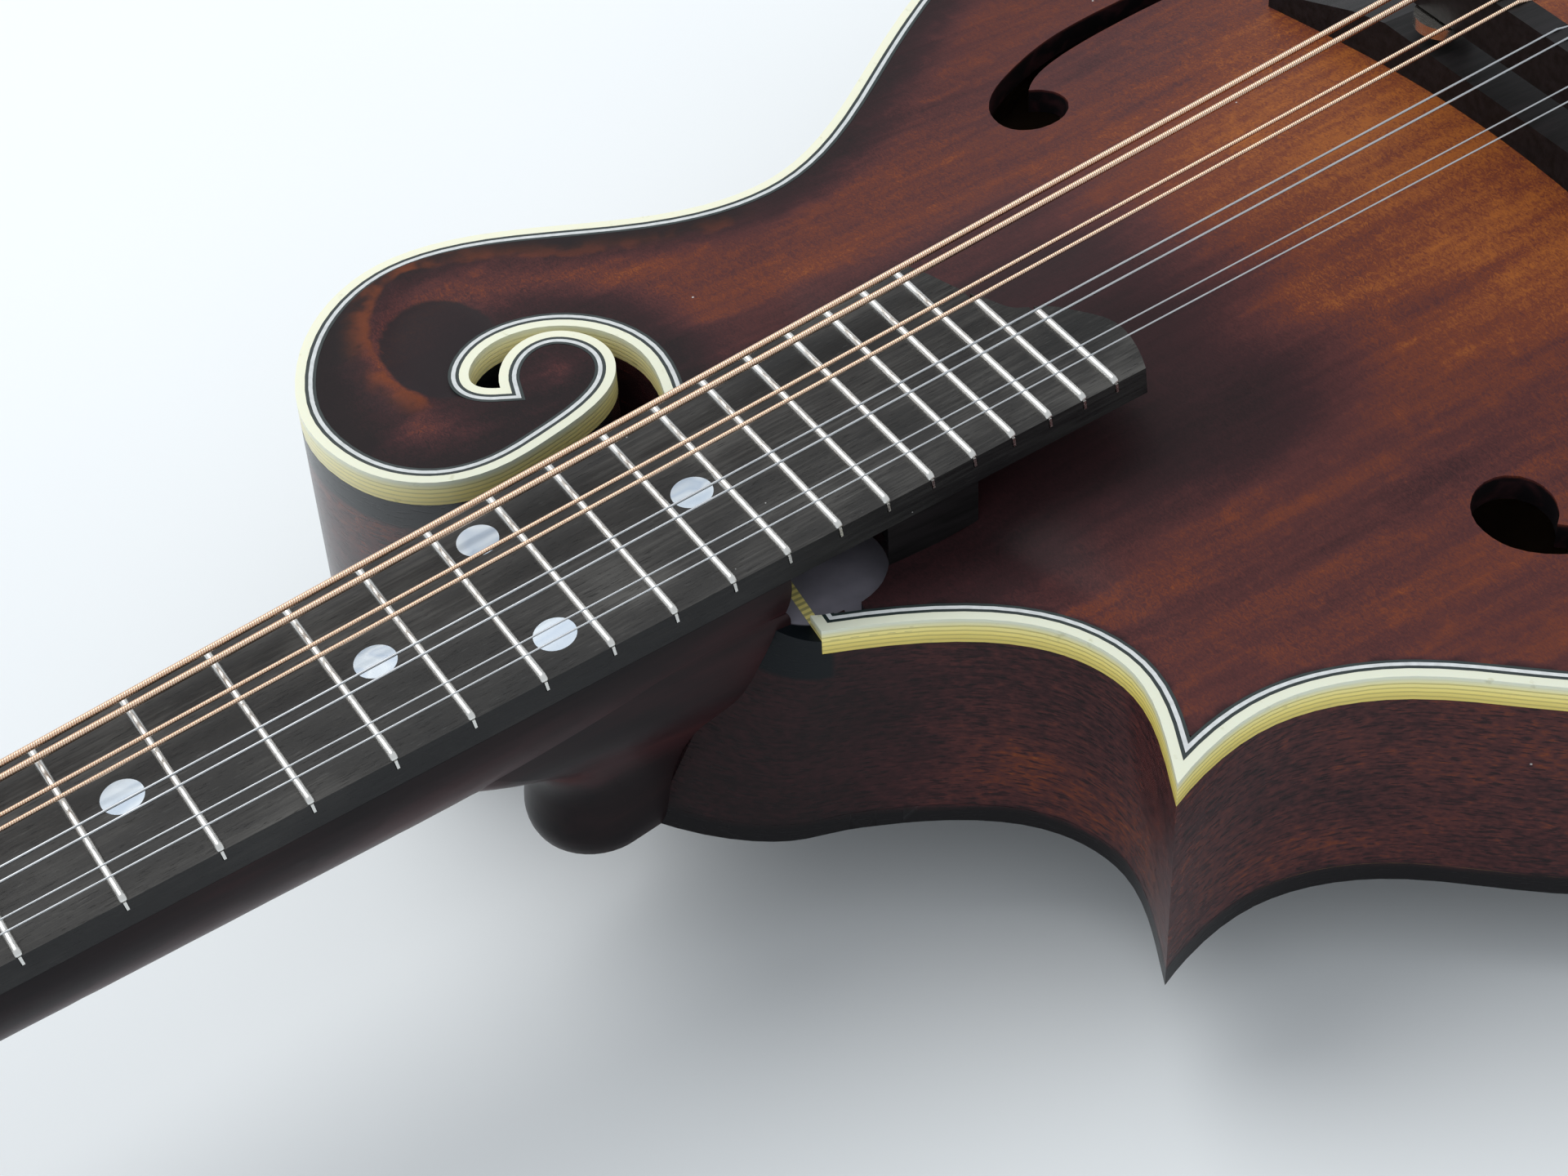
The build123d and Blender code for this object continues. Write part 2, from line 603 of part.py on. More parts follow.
dot_places = [(0, dot_y(n)) for n in single_dots] + [(s * double_dot_x, dot_y(double_dot)) for s in (-1, 1)]
dots = [Pos(x, y, -dot_depth / 2) * Cylinder(dot_diameter / 2, dot_depth) for x, y in dot_places]
side_dots = []
for number in single_dots + (double_dot,):
    y = dot_y(number)
    edge_x = board_half_width(y)
    side_dots.append(rod((edge_x - 2, y, -board_thickness / 2), (edge_x, y, -board_thickness / 2),
                         side_dot_diameter / 2))
fret_numbers = range(1, fret_count + 1)
slots = [Pos(0, fret_y(n), -fret_tang_depth / 2) * Box(60, fret_tang_width, fret_tang_depth)
         for n in fret_numbers]
board = prism(board_plan, -board_thickness, 0)
parts["fretboard"] = board_frame * (board - slots - dots - side_dots)
parts["fret_dots"] = group([board_frame * dot for dot in dots])
parts["side_dots"] = group([board_frame * dot for dot in side_dots])


def board_quad(z, spare):
    near, far = fret_y(0) + 5, -70
    a, b = board_half_width(near) - spare, board_half_width(far) - spare
    return Pos(0, 0, z) * polygon((-a, near), (a, near), (b, far), (-b, far))


bevel = math.tan(math.radians(fret_end_bevel)) * fret_crown_height
fret_room = loft([board_quad(-fret_tang_depth, 0), board_quad(0, 0)], ruled=True)
fret_room += loft([board_quad(0, 0), board_quad(fret_crown_height, bevel)], ruled=True)
half_crown = fret_crown_width / 2
crown = make_face([ThreePointArc((-half_crown, 0), (0, fret_crown_height), (half_crown, 0)),
                   Line((half_crown, 0), (-half_crown, 0))])
wire_section = crown + Pos(0, -fret_tang_depth / 2) * Rectangle(fret_tang_width, fret_tang_depth)
wire = extrude(Plane.YZ * wire_section, 30, both=True)
end_points = [Spline(*board_end) @ (i / 100) for i in range(101)]
frets = []
for number in fret_numbers:
    y = fret_y(number)
    reach = max(p.X for p in end_points if p.Y < y - half_crown)
    room = fret_room & block(-60, reach + 5 * (reach == end_points[-1].X), y - 3, y + 3, -5, 5)
    frets.append(board_frame * (Pos(0, y, 0) * wire & room))
parts["frets"] = group(frets)
nut_outline = polygon((joint_distance, -board_thickness), (joint_distance, nut_height),
                      (joint_distance + 1, nut_height), (neck_end_y, nut_rear_height),
                      (neck_end_y, -board_thickness))
nut = board_frame * extrude(Plane.YZ * nut_outline, nut_half_width, both=True)

# ---- Tuners --------------------------------------------------------------------------------------
gear_z = -screw_drop - worm_radius - body_gap
worm_offset = gear_radius + worm_radius + worm_gap
ear_thickness = 1.5
ear_gap = worm_length / 2 + body_gap
ear_half_height = 2.8
ear_bore = worm_shaft_radius + shaft_clearance
bore = post_radius + shaft_clearance


def tooth_points():
    points = []
    for i in range(gear_teeth):
        for share, radius in ((0.0, 0.84), (0.3, 1.0), (0.55, 1.0), (0.85, 0.84)):
            angle = 2 * math.pi * (i + share) / gear_teeth
            points.append((gear_radius * radius * math.cos(angle), gear_radius * radius * math.sin(angle)))
    return points


gear = prism(polygon(*tooth_points()), gear_z - gear_thickness / 2, gear_z + gear_thickness / 2)
post_top = overlay_thickness + post_height
post_body = rod((0, 0, gear_z), (0, 0, post_top), post_radius) + gear
wind_low = string_lift - wind_height / 2
winding = rod((0, 0, wind_low), (0, 0, wind_low + wind_height), wind_radius) - post_body
bushing = rod((0, 0, -head_thickness), (0, 0, overlay_thickness), bushing_radius)
bushing += rod((0, 0, overlay_thickness), (0, 0, overlay_thickness + bushing_rim), bushing_radius + 1.2)
bushing -= rod((0, 0, -40), (0, 0, 40), bore)
parts["tuner_bushings"] = group([head_frame * Pos(x, y, 0) * bushing for x, y in posts])

button_profile = make_face([Spline((-button_length / 2, -2.4), (-2.0, -button_half_height + 0.6),
                                   (button_length / 2, -button_half_height + 1.6)),
                            Spline((button_length / 2, -button_half_height + 1.6), (button_length / 2 + 1.4, 0.0),
                                   (button_length / 2, button_half_height - 1.6)),
                            Spline((button_length / 2, button_half_height - 1.6),
                                   (-2.0, button_half_height - 0.6), (-button_length / 2, 2.4)),
                            Line((-button_length / 2, 2.4), (-button_length / 2, -2.4))])
button = fillet(extrude(button_profile, button_half_thickness, both=True).edges(), 1.2)
shaft_inner_x = -ear_gap - ear_thickness
for k, (x, y) in enumerate(posts):
    side = 1 if x > 0 else -1
    label = str(k + 1)
    parts["tuner_post_" + label] = group([head_frame * Pos(x, y, 0) * post_body,
                                          head_frame * Pos(x, y, 0) * winding])
    origin = Pos(x, y + worm_offset, gear_z) * Rot(Z=0 if side > 0 else 180)
    stem = rod((shaft_inner_x, 0, 0), (button_reach - post_offset_x, 0, 0), worm_shaft_radius)
    worm = rod((-worm_length / 2, 0, 0), (worm_length / 2, 0, 0), worm_radius)
    knob = Pos(button_reach - post_offset_x, 0, 0) * button - stem
    parts["tuner_shaft_" + label] = group([head_frame * origin * (stem + worm), head_frame * origin * knob])

plate_y0, plate_y1 = first_post_y - plate_overhang, first_post_y + 3 * post_spacing + plate_overhang + 6
for side, label in ((-1, "treble"), (1, "bass")):
    middle = side * plate_middle_x
    plate = block(middle - plate_width / 2, middle + plate_width / 2, plate_y0, plate_y1, -screw_drop,
                  -head_thickness)
    for x, y in posts:
        if x * side < 0:
            continue
        plate -= rod((x, y, -40), (x, y, 0), bore)
        for way in (-1, 1):
            near = x + way * ear_gap
            far = near + way * ear_thickness
            ear = block(min(near, far), max(near, far), y + worm_offset - ear_half_height,
                        y + worm_offset + ear_half_height, gear_z - ear_half_height, -screw_drop)
            plate += ear - rod((x - 20, y + worm_offset, gear_z), (x + 20, y + worm_offset, gear_z), ear_bore)
    parts["tuner_plate_" + label] = head_frame * plate - tuner_screws

# ---- Bridge --------------------------------------------------------------------------------------
saddle_spot = point_in(board_frame, 0, joint_distance - saddle_distance, saddle_height)
saddle_top = saddle_spot.Z
saddle_bottom = saddle_top - saddle_depth
wheel_top = saddle_bottom - body_gap
wheel_bottom = wheel_top - thumbwheel_thickness
base_half = bridge_thickness / 2
base_profile = ((bridge_half_length, 0), (bridge_half_length, bridge_end_z),
                (bridge_half_length - bridge_shoulder[0], bridge_shoulder[1]),
                (bridge_half_length - bridge_slope[0], bridge_slope[1]), (bridge_flat_half, base_top_z))
base_plan = polygon(*base_profile, *[(-x, z) for x, z in reversed(base_profile)])
base = extrude(Plane.XZ * base_plan, base_half, both=True)
base = Pos(0, saddle_spot.Y, 0) * base - under_top()
post_lines = [((x, saddle_spot.Y, base_top_z - post_embedded),
               (x, saddle_spot.Y, saddle_bottom + post_in_saddle))
              for x in (-saddle_post_x, saddle_post_x)]
bridge_posts = [rod(*line, saddle_post_radius) for line in post_lines]
saddle_profile = ((saddle_half_length, saddle_bottom), (saddle_half_length, saddle_bottom + 2.6),
                  (saddle_half_length - 3.5, saddle_top - 1.2), (saddle_half_length - 6, saddle_top))
saddle_plan = polygon(*saddle_profile, *[(-x, z) for x, z in reversed(saddle_profile)])
saddle = Pos(0, saddle_spot.Y, 0) * extrude(Plane.XZ * saddle_plan, saddle_thickness / 2, both=True)
bore_top = saddle_bottom + post_in_saddle + saddle_travel + body_gap
saddle_bores = [rod((x, y, saddle_bottom - 1), (x, y, bore_top), saddle_post_radius + thread_clearance)
                for (x, y, z), end in post_lines]
parts["bridge_base"] = base - bridge_posts
parts["bridge_posts"] = group(bridge_posts)
saddle -= saddle_bores
for (x, y, z), end in post_lines:
    wheel = rod((x, y, wheel_bottom), (x, y, wheel_top), thumbwheel_radius)
    wheel -= rod((x, y, wheel_bottom - 1), (x, y, wheel_top + 1), saddle_post_radius + thread_clearance)
    parts["thumbwheel_" + ("treble" if x < 0 else "bass")] = wheel

# ---- Tailpiece and end pin -----------------------------------------------------------------------
plate_top = tailpiece_lift + tailpiece_sheet
leg_inner_y = tail_y - 0.05
leg_outer_y = leg_inner_y - tailpiece_sheet
leg_half_width = 9.0
hooks = [((i - 3.5) * hook_spacing, hook_y) for i in range(8)]
tail = block(-tailpiece_half_width, tailpiece_half_width, leg_outer_y, tail_y + tailpiece_length,
             tailpiece_lift, plate_top)
tail += block(-leg_half_width, leg_half_width, leg_outer_y, leg_inner_y, -tailpiece_leg, plate_top)
for x, y in hooks:
    tail += rod((x, y, tailpiece_lift + 0.2), (x, y, plate_top + hook_height), hook_radius)
tail_screw_places = ((-5.5, -10.0), (5.5, -10.0))
tail_screws = [Pos(x, leg_outer_y, z) * Rot(X=-90) * screw(0, 0, 0) for x, z in tail_screw_places]
parts["tailpiece_base"] = tail - pin_hole - tail_screws
parts["small_screws"] = group(cover_screws + tail_screws)
for name in ("rib_scroll_side", "rib_lower_bout", "tail_block"):
    parts[name] = parts[name] - tail_screws

cover_half = tailpiece_half_width + 1.5
cover_y0 = leg_outer_y
cover_y1 = cover_y0 + cover_length
cover_low = tailpiece_lift + 0.2


def cover_block(shrink, open_ends):
    """The cover's wedge, seen from the side and drawn across."""
    y0, y1 = cover_y0 + shrink, cover_y1 + (5 if open_ends else 0)
    rise = (cover_front_height - cover_rear_height) / cover_length
    z1 = cover_rear_height - shrink + rise * (y1 - cover_y0)
    outline = polygon((y0, cover_low - (5 if open_ends else 0)), (y0, cover_rear_height - shrink), (y1, z1),
                      (y1, cover_low - (5 if open_ends else 0)))
    return extrude(Plane.YZ * outline, cover_half - shrink, both=True)


cover = cover_block(0, False) - cover_block(cover_sheet, True)
parts["tailpiece_cover"] = cover - block(-60, 60, cover_y0 - 1, cover_y0 + cover_sheet + 1, -10,
                                         plate_top + body_gap)

pin_face_y = leg_outer_y
stages = ((end_pin_neck_radius, tail_y + end_pin_length, pin_face_y), (6.0, pin_face_y, pin_face_y - 2.5),
          (4.2, pin_face_y - 2.5, pin_face_y - 6.5),
          (end_pin_radius, pin_face_y - 6.5, pin_face_y - 6.5 - end_pin_head))
pin = None
for radius, y_in, y_out in stages:
    stage = rod((0, y_in, end_pin_z), (0, y_out, end_pin_z), radius)
    pin = stage if pin is None else pin + stage
parts["end_pin"] = pin

# ---- Strings -------------------------------------------------------------------------------------


def course_x(index, course_spacing, pair_gap):
    """x of a string: four courses of two, from the treble side."""
    course, second = divmod(index, 2)
    return (course - 1.5) * course_spacing + (second - 0.5) * pair_gap


# the outer courses go to the posts nearest the nut
post_order = (0, 1, 2, 3, 7, 6, 5, 4)
strings, string_slots = [], []
for i, radius in enumerate(string_radii):
    post_x, post_y = posts[post_order[i]]
    side = 1 if post_x > 0 else -1
    reach = wind_radius + winding_gap + radius
    seat = radius + string_seat
    loop_wire = radius * loop_swell
    loop_radius = hook_radius + loop_wire + string_seat
    hook_x = hooks[i][0]
    loop_z = plate_top + hook_height / 2
    stops = [
        point_in(head_frame, post_x - side * reach, post_y, string_lift),
        point_in(board_frame, course_x(i, nut_course_spacing, nut_pair_gap), joint_distance + 0.5,
                 nut_height + seat),
        point_in(board_frame, course_x(i, bridge_course_spacing, bridge_pair_gap),
                 joint_distance - saddle_distance, saddle_height + seat),
        Vector(hook_x, hook_y + loop_radius, loop_z),
    ]
    string = Pos(hook_x, hook_y, loop_z) * Torus(loop_radius, loop_wire)
    for start, end in zip(stops, stops[1:]):
        string += rod(start, end, radius)
    for bend in stops[1:3]:
        string += Pos(bend) * Sphere(radius * bend_swell)
    string_slots += [rod(start, end, radius + string_slot_gap) for start, end in zip(stops, stops[1:])]
    strings.append(string)
parts["strings_plain"] = group(strings[:4])
parts["strings_wound"] = group(strings[4:])
parts["nut"] = nut - string_slots
parts["bridge_saddle"] = saddle - string_slots

# ---- Rest: turn onto the back, so that the back's arch and the headstock's tip lie on z = 0 ------
head_rest = point_in(head_frame, 0, head_length, -head_thickness)
arch_points = [(y, back_z - back_arch * arch_lift(0, y)) for y in range(int(arch_peak_y) - 40, 0)]


def lowest(angle):
    """Heights of the back's lowest point and of the headstock's tip, tilted head up by an angle."""
    cosine, sine = math.cos(math.radians(angle)), math.sin(math.radians(angle))
    return min(y * sine + z * cosine for y, z in arch_points), head_rest.Y * sine + head_rest.Z * cosine


low_angle, high_angle = 0.0, 10.0
while high_angle - low_angle > 1e-6:
    rest_tilt = (low_angle + high_angle) / 2
    back_low, head_low = lowest(rest_tilt)
    if head_low < back_low:
        low_angle = rest_tilt
    else:
        high_angle = rest_tilt
tilted = {name: Rot(X=rest_tilt) * shape for name, shape in parts.items()}
boxes = [shape.bounding_box() for shape in tilted.values()]
middle_x = (min(b.min.X for b in boxes) + max(b.max.X for b in boxes)) / 2
middle_y = (min(b.min.Y for b in boxes) + max(b.max.Y for b in boxes)) / 2
floor_z = min(b.min.Z for b in boxes)
rest_frame = Pos(-middle_x, -middle_y, -floor_z) * Rot(X=rest_tilt)

for name, shape in parts.items():
    export_step(rest_frame * shape, "parts/" + name + ".step")
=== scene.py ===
import math

import bpy
import numpy as np
from mathutils import Matrix, Vector
from mathutils.bvhtree import BVHTree


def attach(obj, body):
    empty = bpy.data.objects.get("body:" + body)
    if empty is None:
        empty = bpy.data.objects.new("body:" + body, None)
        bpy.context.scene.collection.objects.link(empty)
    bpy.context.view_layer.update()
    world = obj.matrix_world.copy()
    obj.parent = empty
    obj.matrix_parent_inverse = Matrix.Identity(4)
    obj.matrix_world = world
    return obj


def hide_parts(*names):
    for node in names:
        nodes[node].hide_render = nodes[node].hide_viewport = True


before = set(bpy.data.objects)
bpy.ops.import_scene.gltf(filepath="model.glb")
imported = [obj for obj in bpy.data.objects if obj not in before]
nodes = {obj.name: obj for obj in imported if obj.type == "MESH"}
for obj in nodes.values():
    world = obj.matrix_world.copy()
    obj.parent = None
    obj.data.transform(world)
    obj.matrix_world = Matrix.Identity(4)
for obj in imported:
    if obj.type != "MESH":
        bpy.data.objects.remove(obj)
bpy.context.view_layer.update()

# The instrument is drawn in its body frame, in millimetres: x to the scroll, y to the headstock, z up
# from the binding's top.  It lies on its back, turned by LIE about X and moved by SHIFT.
LIE = math.radians(3.50293696)
SHIFT = np.array([-0.500849, -23.8967, 65.5755])
TURN = np.array([[1, 0, 0], [0, math.cos(LIE), -math.sin(LIE)], [0, math.sin(LIE), math.cos(LIE)]])
NECK_PITCH = math.radians(5.9)
BOARD_HEIGHT = 11.6
SCALE = 352.4
JOINT = SCALE * (1 - 2 ** (-15 / 12))       # nut to the fret over the joint


def to_row(points):
    """Body frame millimetres to the row frame's metres."""
    return (np.asarray(points, float) @ TURN.T + SHIFT) / 1000


def to_body(points):
    """The row frame's metres to body frame millimetres."""
    return (np.asarray(points, float) * 1000 - SHIFT) @ TURN


def pitched(points, angle, origin):
    """Points of a frame turned by -angle about X and put at origin, in the frame that holds it."""
    c, s = math.cos(angle), math.sin(angle)
    x, y, z = np.moveaxis(np.asarray(points, float), -1, 0)
    return np.stack([x, c * y + s * z, -s * y + c * z], -1) + np.asarray(origin, float)


def board(points):
    """Board frame to body frame: y from the joint fret to the nut, z up from the board's top."""
    return pitched(points, NECK_PITCH, (0, 0, BOARD_HEIGHT))


# ---- Finishes --------------------------------------------------------------------------------------
class Finish:
    """A material being made: each call adds a node and gives back what comes out of it."""

    def __init__(self, name, roughness=0.4, pitch=0.0, **shader):
        self.material = bpy.data.materials.new(name)
        self.material.use_nodes = True
        self.tree = self.material.node_tree
        self.shader = self.tree.nodes["Principled BSDF"]
        self.shader.inputs["Roughness"].default_value = roughness
        for key, value in shader.items():
            self.shader.inputs[key.replace("_", " ")].default_value = value
        where = self.add("ShaderNodeTexCoord").outputs["Object"]
        shift = (0, 0, 0) if pitch else tuple(TURN.T @ -SHIFT)      # grain along the neck needs no origin
        self.mm = self.add("ShaderNodeMapping", Vector=where, Scale=(1000, 1000, 1000), Location=shift,
                           Rotation=(pitch - LIE, 0, 0)).outputs[0]

    def add(self, kind, settings=None, **inputs):
        """A node; inputs go by name, or by number as _0, _1, and are either sockets or plain values."""
        made = self.tree.nodes.new(kind)
        for key, value in (settings or {}).items():
            setattr(made, key, value)
        for key, value in inputs.items():
            socket = made.inputs[int(key[1:]) if key[1:].isdigit() else key.replace("_", " ")]
            if isinstance(value, bpy.types.NodeSocket):
                self.tree.links.new(value, socket)
            else:
                socket.default_value = value
        return made

    def stretch(self, x, y, z, shift=(0.0, 0.0, 0.0)):
        """The place times x, y, z: patterns are stretched along the axis with the small number."""
        return self.add("ShaderNodeMapping", Vector=self.mm, Scale=(x, y, z), Location=shift).outputs[0]

    def away(self, centre, reach_x=1.0, reach_y=1.0):
        """Distance from a centre seen from above, in shares of the reach each way."""
        where = self.stretch(1 / reach_x, 1 / reach_y, 0.0, (-centre[0] / reach_x, -centre[1] / reach_y, 0.0))
        return self.add("ShaderNodeVectorMath", {"operation": "LENGTH"}, _0=where).outputs["Value"]

    def noise(self, where, detail=3.0, rough=0.55, swirl=0.0):
        """Cloudy noise about 0.5, with features about one unit of where across."""
        return self.add("ShaderNodeTexNoise", Vector=where, Scale=1.0, Detail=detail, Roughness=rough,
                        Distortion=swirl).outputs["Fac"]

    def cells(self, where):
        """Distance from the nearest of many scattered points: small values make specks of dust."""
        return self.add("ShaderNodeTexVoronoi", Vector=where, Scale=1.0).outputs["Distance"]

    def ramp(self, fac, stops):
        """Colour by a value, from stops of place and colour."""
        made = self.add("ShaderNodeValToRGB", Fac=fac)
        ramp = made.color_ramp
        while len(ramp.elements) < len(stops):
            ramp.elements.new(0.5)
        for element, (place, colour) in zip(ramp.elements, sorted(stops)):
            element.position = place
            element.color = (*colour, 1)
        return made.outputs["Color"]

    def mix(self, fac, a, b):
        """Colour a where fac is 0, b where it is 1."""
        made = self.add("ShaderNodeMix", {"data_type": "RGBA"})
        for index, value in ((0, fac), (6, a), (7, b)):
            if isinstance(value, bpy.types.NodeSocket):
                self.tree.links.new(value, made.inputs[index])
            else:
                made.inputs[index].default_value = value if index == 0 else (*value, 1)
        return made.outputs[2]

    def calc(self, how, a, b=0.0, c=0.0):
        """One step of arithmetic on values."""
        return self.add("ShaderNodeMath", {"operation": how}, _0=a, _1=b, _2=c).outputs[0]

    def times(self, first, *others):
        """The product of two values or more."""
        for other in others:
            first = self.calc("MULTIPLY", first, other)
        return first

    def sway(self, tone, pattern, weight):
        """The tone, raised or lowered by weight times how far the pattern is from its middle, 0.5."""
        return self.calc("MULTIPLY_ADD", self.calc("SUBTRACT", pattern, 0.5), weight, tone)

    def rise(self, value, low, high, out_low=0.0, out_high=1.0):
        """From out_low to out_high as value goes from low to high, smoothly."""
        return self.add("ShaderNodeMapRange", {"interpolation_type": "SMOOTHSTEP"}, _0=value, _1=low,
                        _2=high, _3=out_low, _4=out_high).outputs[0]

    def part(self, vector, axis):
        """One of a vector's three numbers."""
        return self.add("ShaderNodeSeparateXYZ", Vector=vector).outputs[axis]

    def facing(self, axis):
        """How far the surface looks along an axis, from -1 to 1."""
        return self.part(self.add("ShaderNodeNewGeometry").outputs["Normal"], axis)

    def attribute(self, name):
        """A value kept per point of the mesh."""
        return self.add("ShaderNodeAttribute", {"attribute_name": name}).outputs["Fac"]

    def colour(self, socket):
        self.tree.links.new(socket, self.shader.inputs["Base Color"])

    def rough(self, socket):
        self.tree.links.new(socket, self.shader.inputs["Roughness"])

    def bump(self, height, millimetres):
        """Relief of so many millimetres where height goes from 0 to 1."""
        made = self.add("ShaderNodeBump", Height=height, Strength=1.0, Distance=millimetres / 1000)
        self.tree.links.new(made.outputs[0], self.shader.inputs["Normal"])


BLACK = (0.006, 0.005, 0.006)
SOOT = (0.014, 0.008, 0.009)
UMBER = (0.036, 0.013, 0.015)
RUSSET = (0.076, 0.023, 0.022)
CHESTNUT = (0.148, 0.037, 0.017)
AMBER = (0.290, 0.088, 0.019)
# Grey-purple of the spot face: its dull own colour, made much lighter as a painted reflection of the bright
# room in its gloss.
SPOT_SHEEN_GREY = (0.23, 0.22, 0.26)
SPOT_CENTRE, SPOT_RADIUS, SPOT_DEPTH = (-11.3, -8.0), 11.2, 2.0     # the round bare place beside the neck
STAIN = [(0.0, BLACK), (0.2, SOOT), (0.4, UMBER), (0.6, RUSSET), (0.8, CHESTNUT), (1.0, AMBER)]


def soundboard_finish():
    """Burst stain: russet in the field, amber round the bridge, near black on the scroll's ledge, with clouds
    along the grain, small blotches, curly flecks and a rubbed crest line; painted shade darkens it under and
    beside the board, and painted shade with a grey sheen fills the scroll's dish."""
    f = Finish("soundboard_stain", 0.45, Specular_IOR_Level=0.12)
    clouds = f.noise(f.stretch(0.055, 0.011, 0.05), 3, 0.6, 0.4)
    streaks = f.noise(f.stretch(0.50, 0.030, 0.5), 4, 0.6, 0.3)
    bands = f.noise(f.stretch(0.13, 0.012, 0.1, (5, 0, 0)), 2, 0.5, 0.3)
    blotches = f.noise(f.stretch(0.26, 0.17, 0.3), 2, 0.5, 0.8)
    curl = f.noise(f.stretch(0.85, 1.5, 0.9), 3, 0.62, 2.0)
    patches = f.rise(f.noise(f.stretch(0.028, 0.022, 0.05, (7, 3, 0)), 2), 0.40, 0.62)
    from_bridge = f.away((0.0, -150.0), 66.0, 62.0)
    glow = f.rise(from_bridge, 1.3, 0.1)
    tone = f.calc("MULTIPLY_ADD", glow, 0.27, 0.625)
    tone = f.sway(tone, clouds, 0.50)
    tone = f.sway(tone, bands, 0.40)
    tone = f.sway(tone, streaks, 0.30)
    tone = f.calc("MULTIPLY_ADD", f.rise(blotches, 0.50, 0.78), 0.09, tone)
    strength = f.calc("MULTIPLY_ADD", patches, 0.24, f.calc("MULTIPLY_ADD", glow, 0.40, 0.36))
    strength = f.calc("MULTIPLY_ADD", f.rise(f.part(f.mm, 1), -40.0, -5.0), 0.35, strength)
    tone = f.sway(tone, curl, strength)
    x, y = f.part(f.mm, 0), f.part(f.mm, 1)
    # Painted shade: the top is darkened under the fretboard's end and beside it, fading out over about 30 mm,
    # with a cloudy edge.
    beside = f.calc("MAXIMUM", f.calc("SUBTRACT", f.calc("ABSOLUTE", x), 20.0), 0.0)
    beyond = f.calc("MAXIMUM", f.calc("SUBTRACT", -72.0, y), 0.0)
    from_board = f.calc("SQRT", f.calc("ADD", f.times(beside, beside), f.times(beyond, beyond)))
    near = f.sway(from_board, clouds, 24.0)
    tone = f.times(tone, f.rise(near, 0.0, 30.0, 0.48, 1.0))
    width = f.rise(x, -10.0, 40.0, 2.2, 9.5)
    band = f.calc("DIVIDE", f.sway(f.attribute("rim"), blotches, 3.0), width)
    tone = f.times(tone, f.rise(band, 0.25, 1.3, 0.42, 1.0))
    crest = f.sway(f.attribute("crest"), f.noise(f.stretch(0.30, 0.30, 0.3), 3), 2.6)
    along = f.attribute("along")
    there = f.times(f.rise(along, 0.0, 0.05), f.rise(along, 1.0, 0.93))
    ledge = f.times(f.rise(crest, 0.4, 3.4), f.rise(crest, 30.0, 20.0), there)
    tone = f.times(tone, f.calc("MULTIPLY_ADD", ledge, -0.45, 1.0))
    colour = f.ramp(tone, STAIN)
    broken = f.rise(f.noise(f.stretch(0.16, 0.16, 0.2), 3), 0.36, 0.60, 0.12, 1.0)
    rubbed = f.times(f.rise(crest, -0.5, 0.5), f.rise(crest, 5.5, 0.2), there)
    rubbed = f.times(rubbed, broken, f.rise(along, 0.72, 0.5, 0.30, 0.72))
    colour = f.mix(rubbed, colour, (0.165, 0.040, 0.012))
    # Painted shade with a grey sheen: the scroll's shallow dish is darkened towards a dark grey-violet.
    dish = f.rise(f.sway(f.attribute("dish"), blotches, 0.35), 0.3, 0.7)
    colour = f.mix(f.times(dish, 0.92), colour, (0.016, 0.011, 0.013))
    wall = f.ramp(blotches, [(0.45, BLACK), (0.75, UMBER)])
    colour = f.mix(f.rise(f.attribute("depth"), 0.02, 0.14), colour, wall)
    dust = f.rise(f.cells(f.stretch(0.085, 0.085, 0.085)), 0.020, 0.010)
    f.colour(f.mix(dust, colour, (0.50, 0.48, 0.46)))
    f.rough(f.rise(clouds, 0.3, 0.7, 0.42, 0.52))
    f.bump(f.calc("ADD", streaks, f.times(curl, 0.4)), 0.04)
    return f.material


def spot_sheen_finish():
    """Floor of the round bare place beside the neck: smooth, faintly cloudy dull grey-purple, brightened as a
    painted reflection of the bright room in its gloss.
    """
    f = Finish("spot_face_sheen", 0.32)
    clouds = f.noise(f.stretch(0.2, 0.2, 0.2), 3)
    f.colour(f.ramp(clouds, [(0.3, tuple(0.75 * c for c in SPOT_SHEEN_GREY)), (0.7, SPOT_SHEEN_GREY)]))
    return f.material


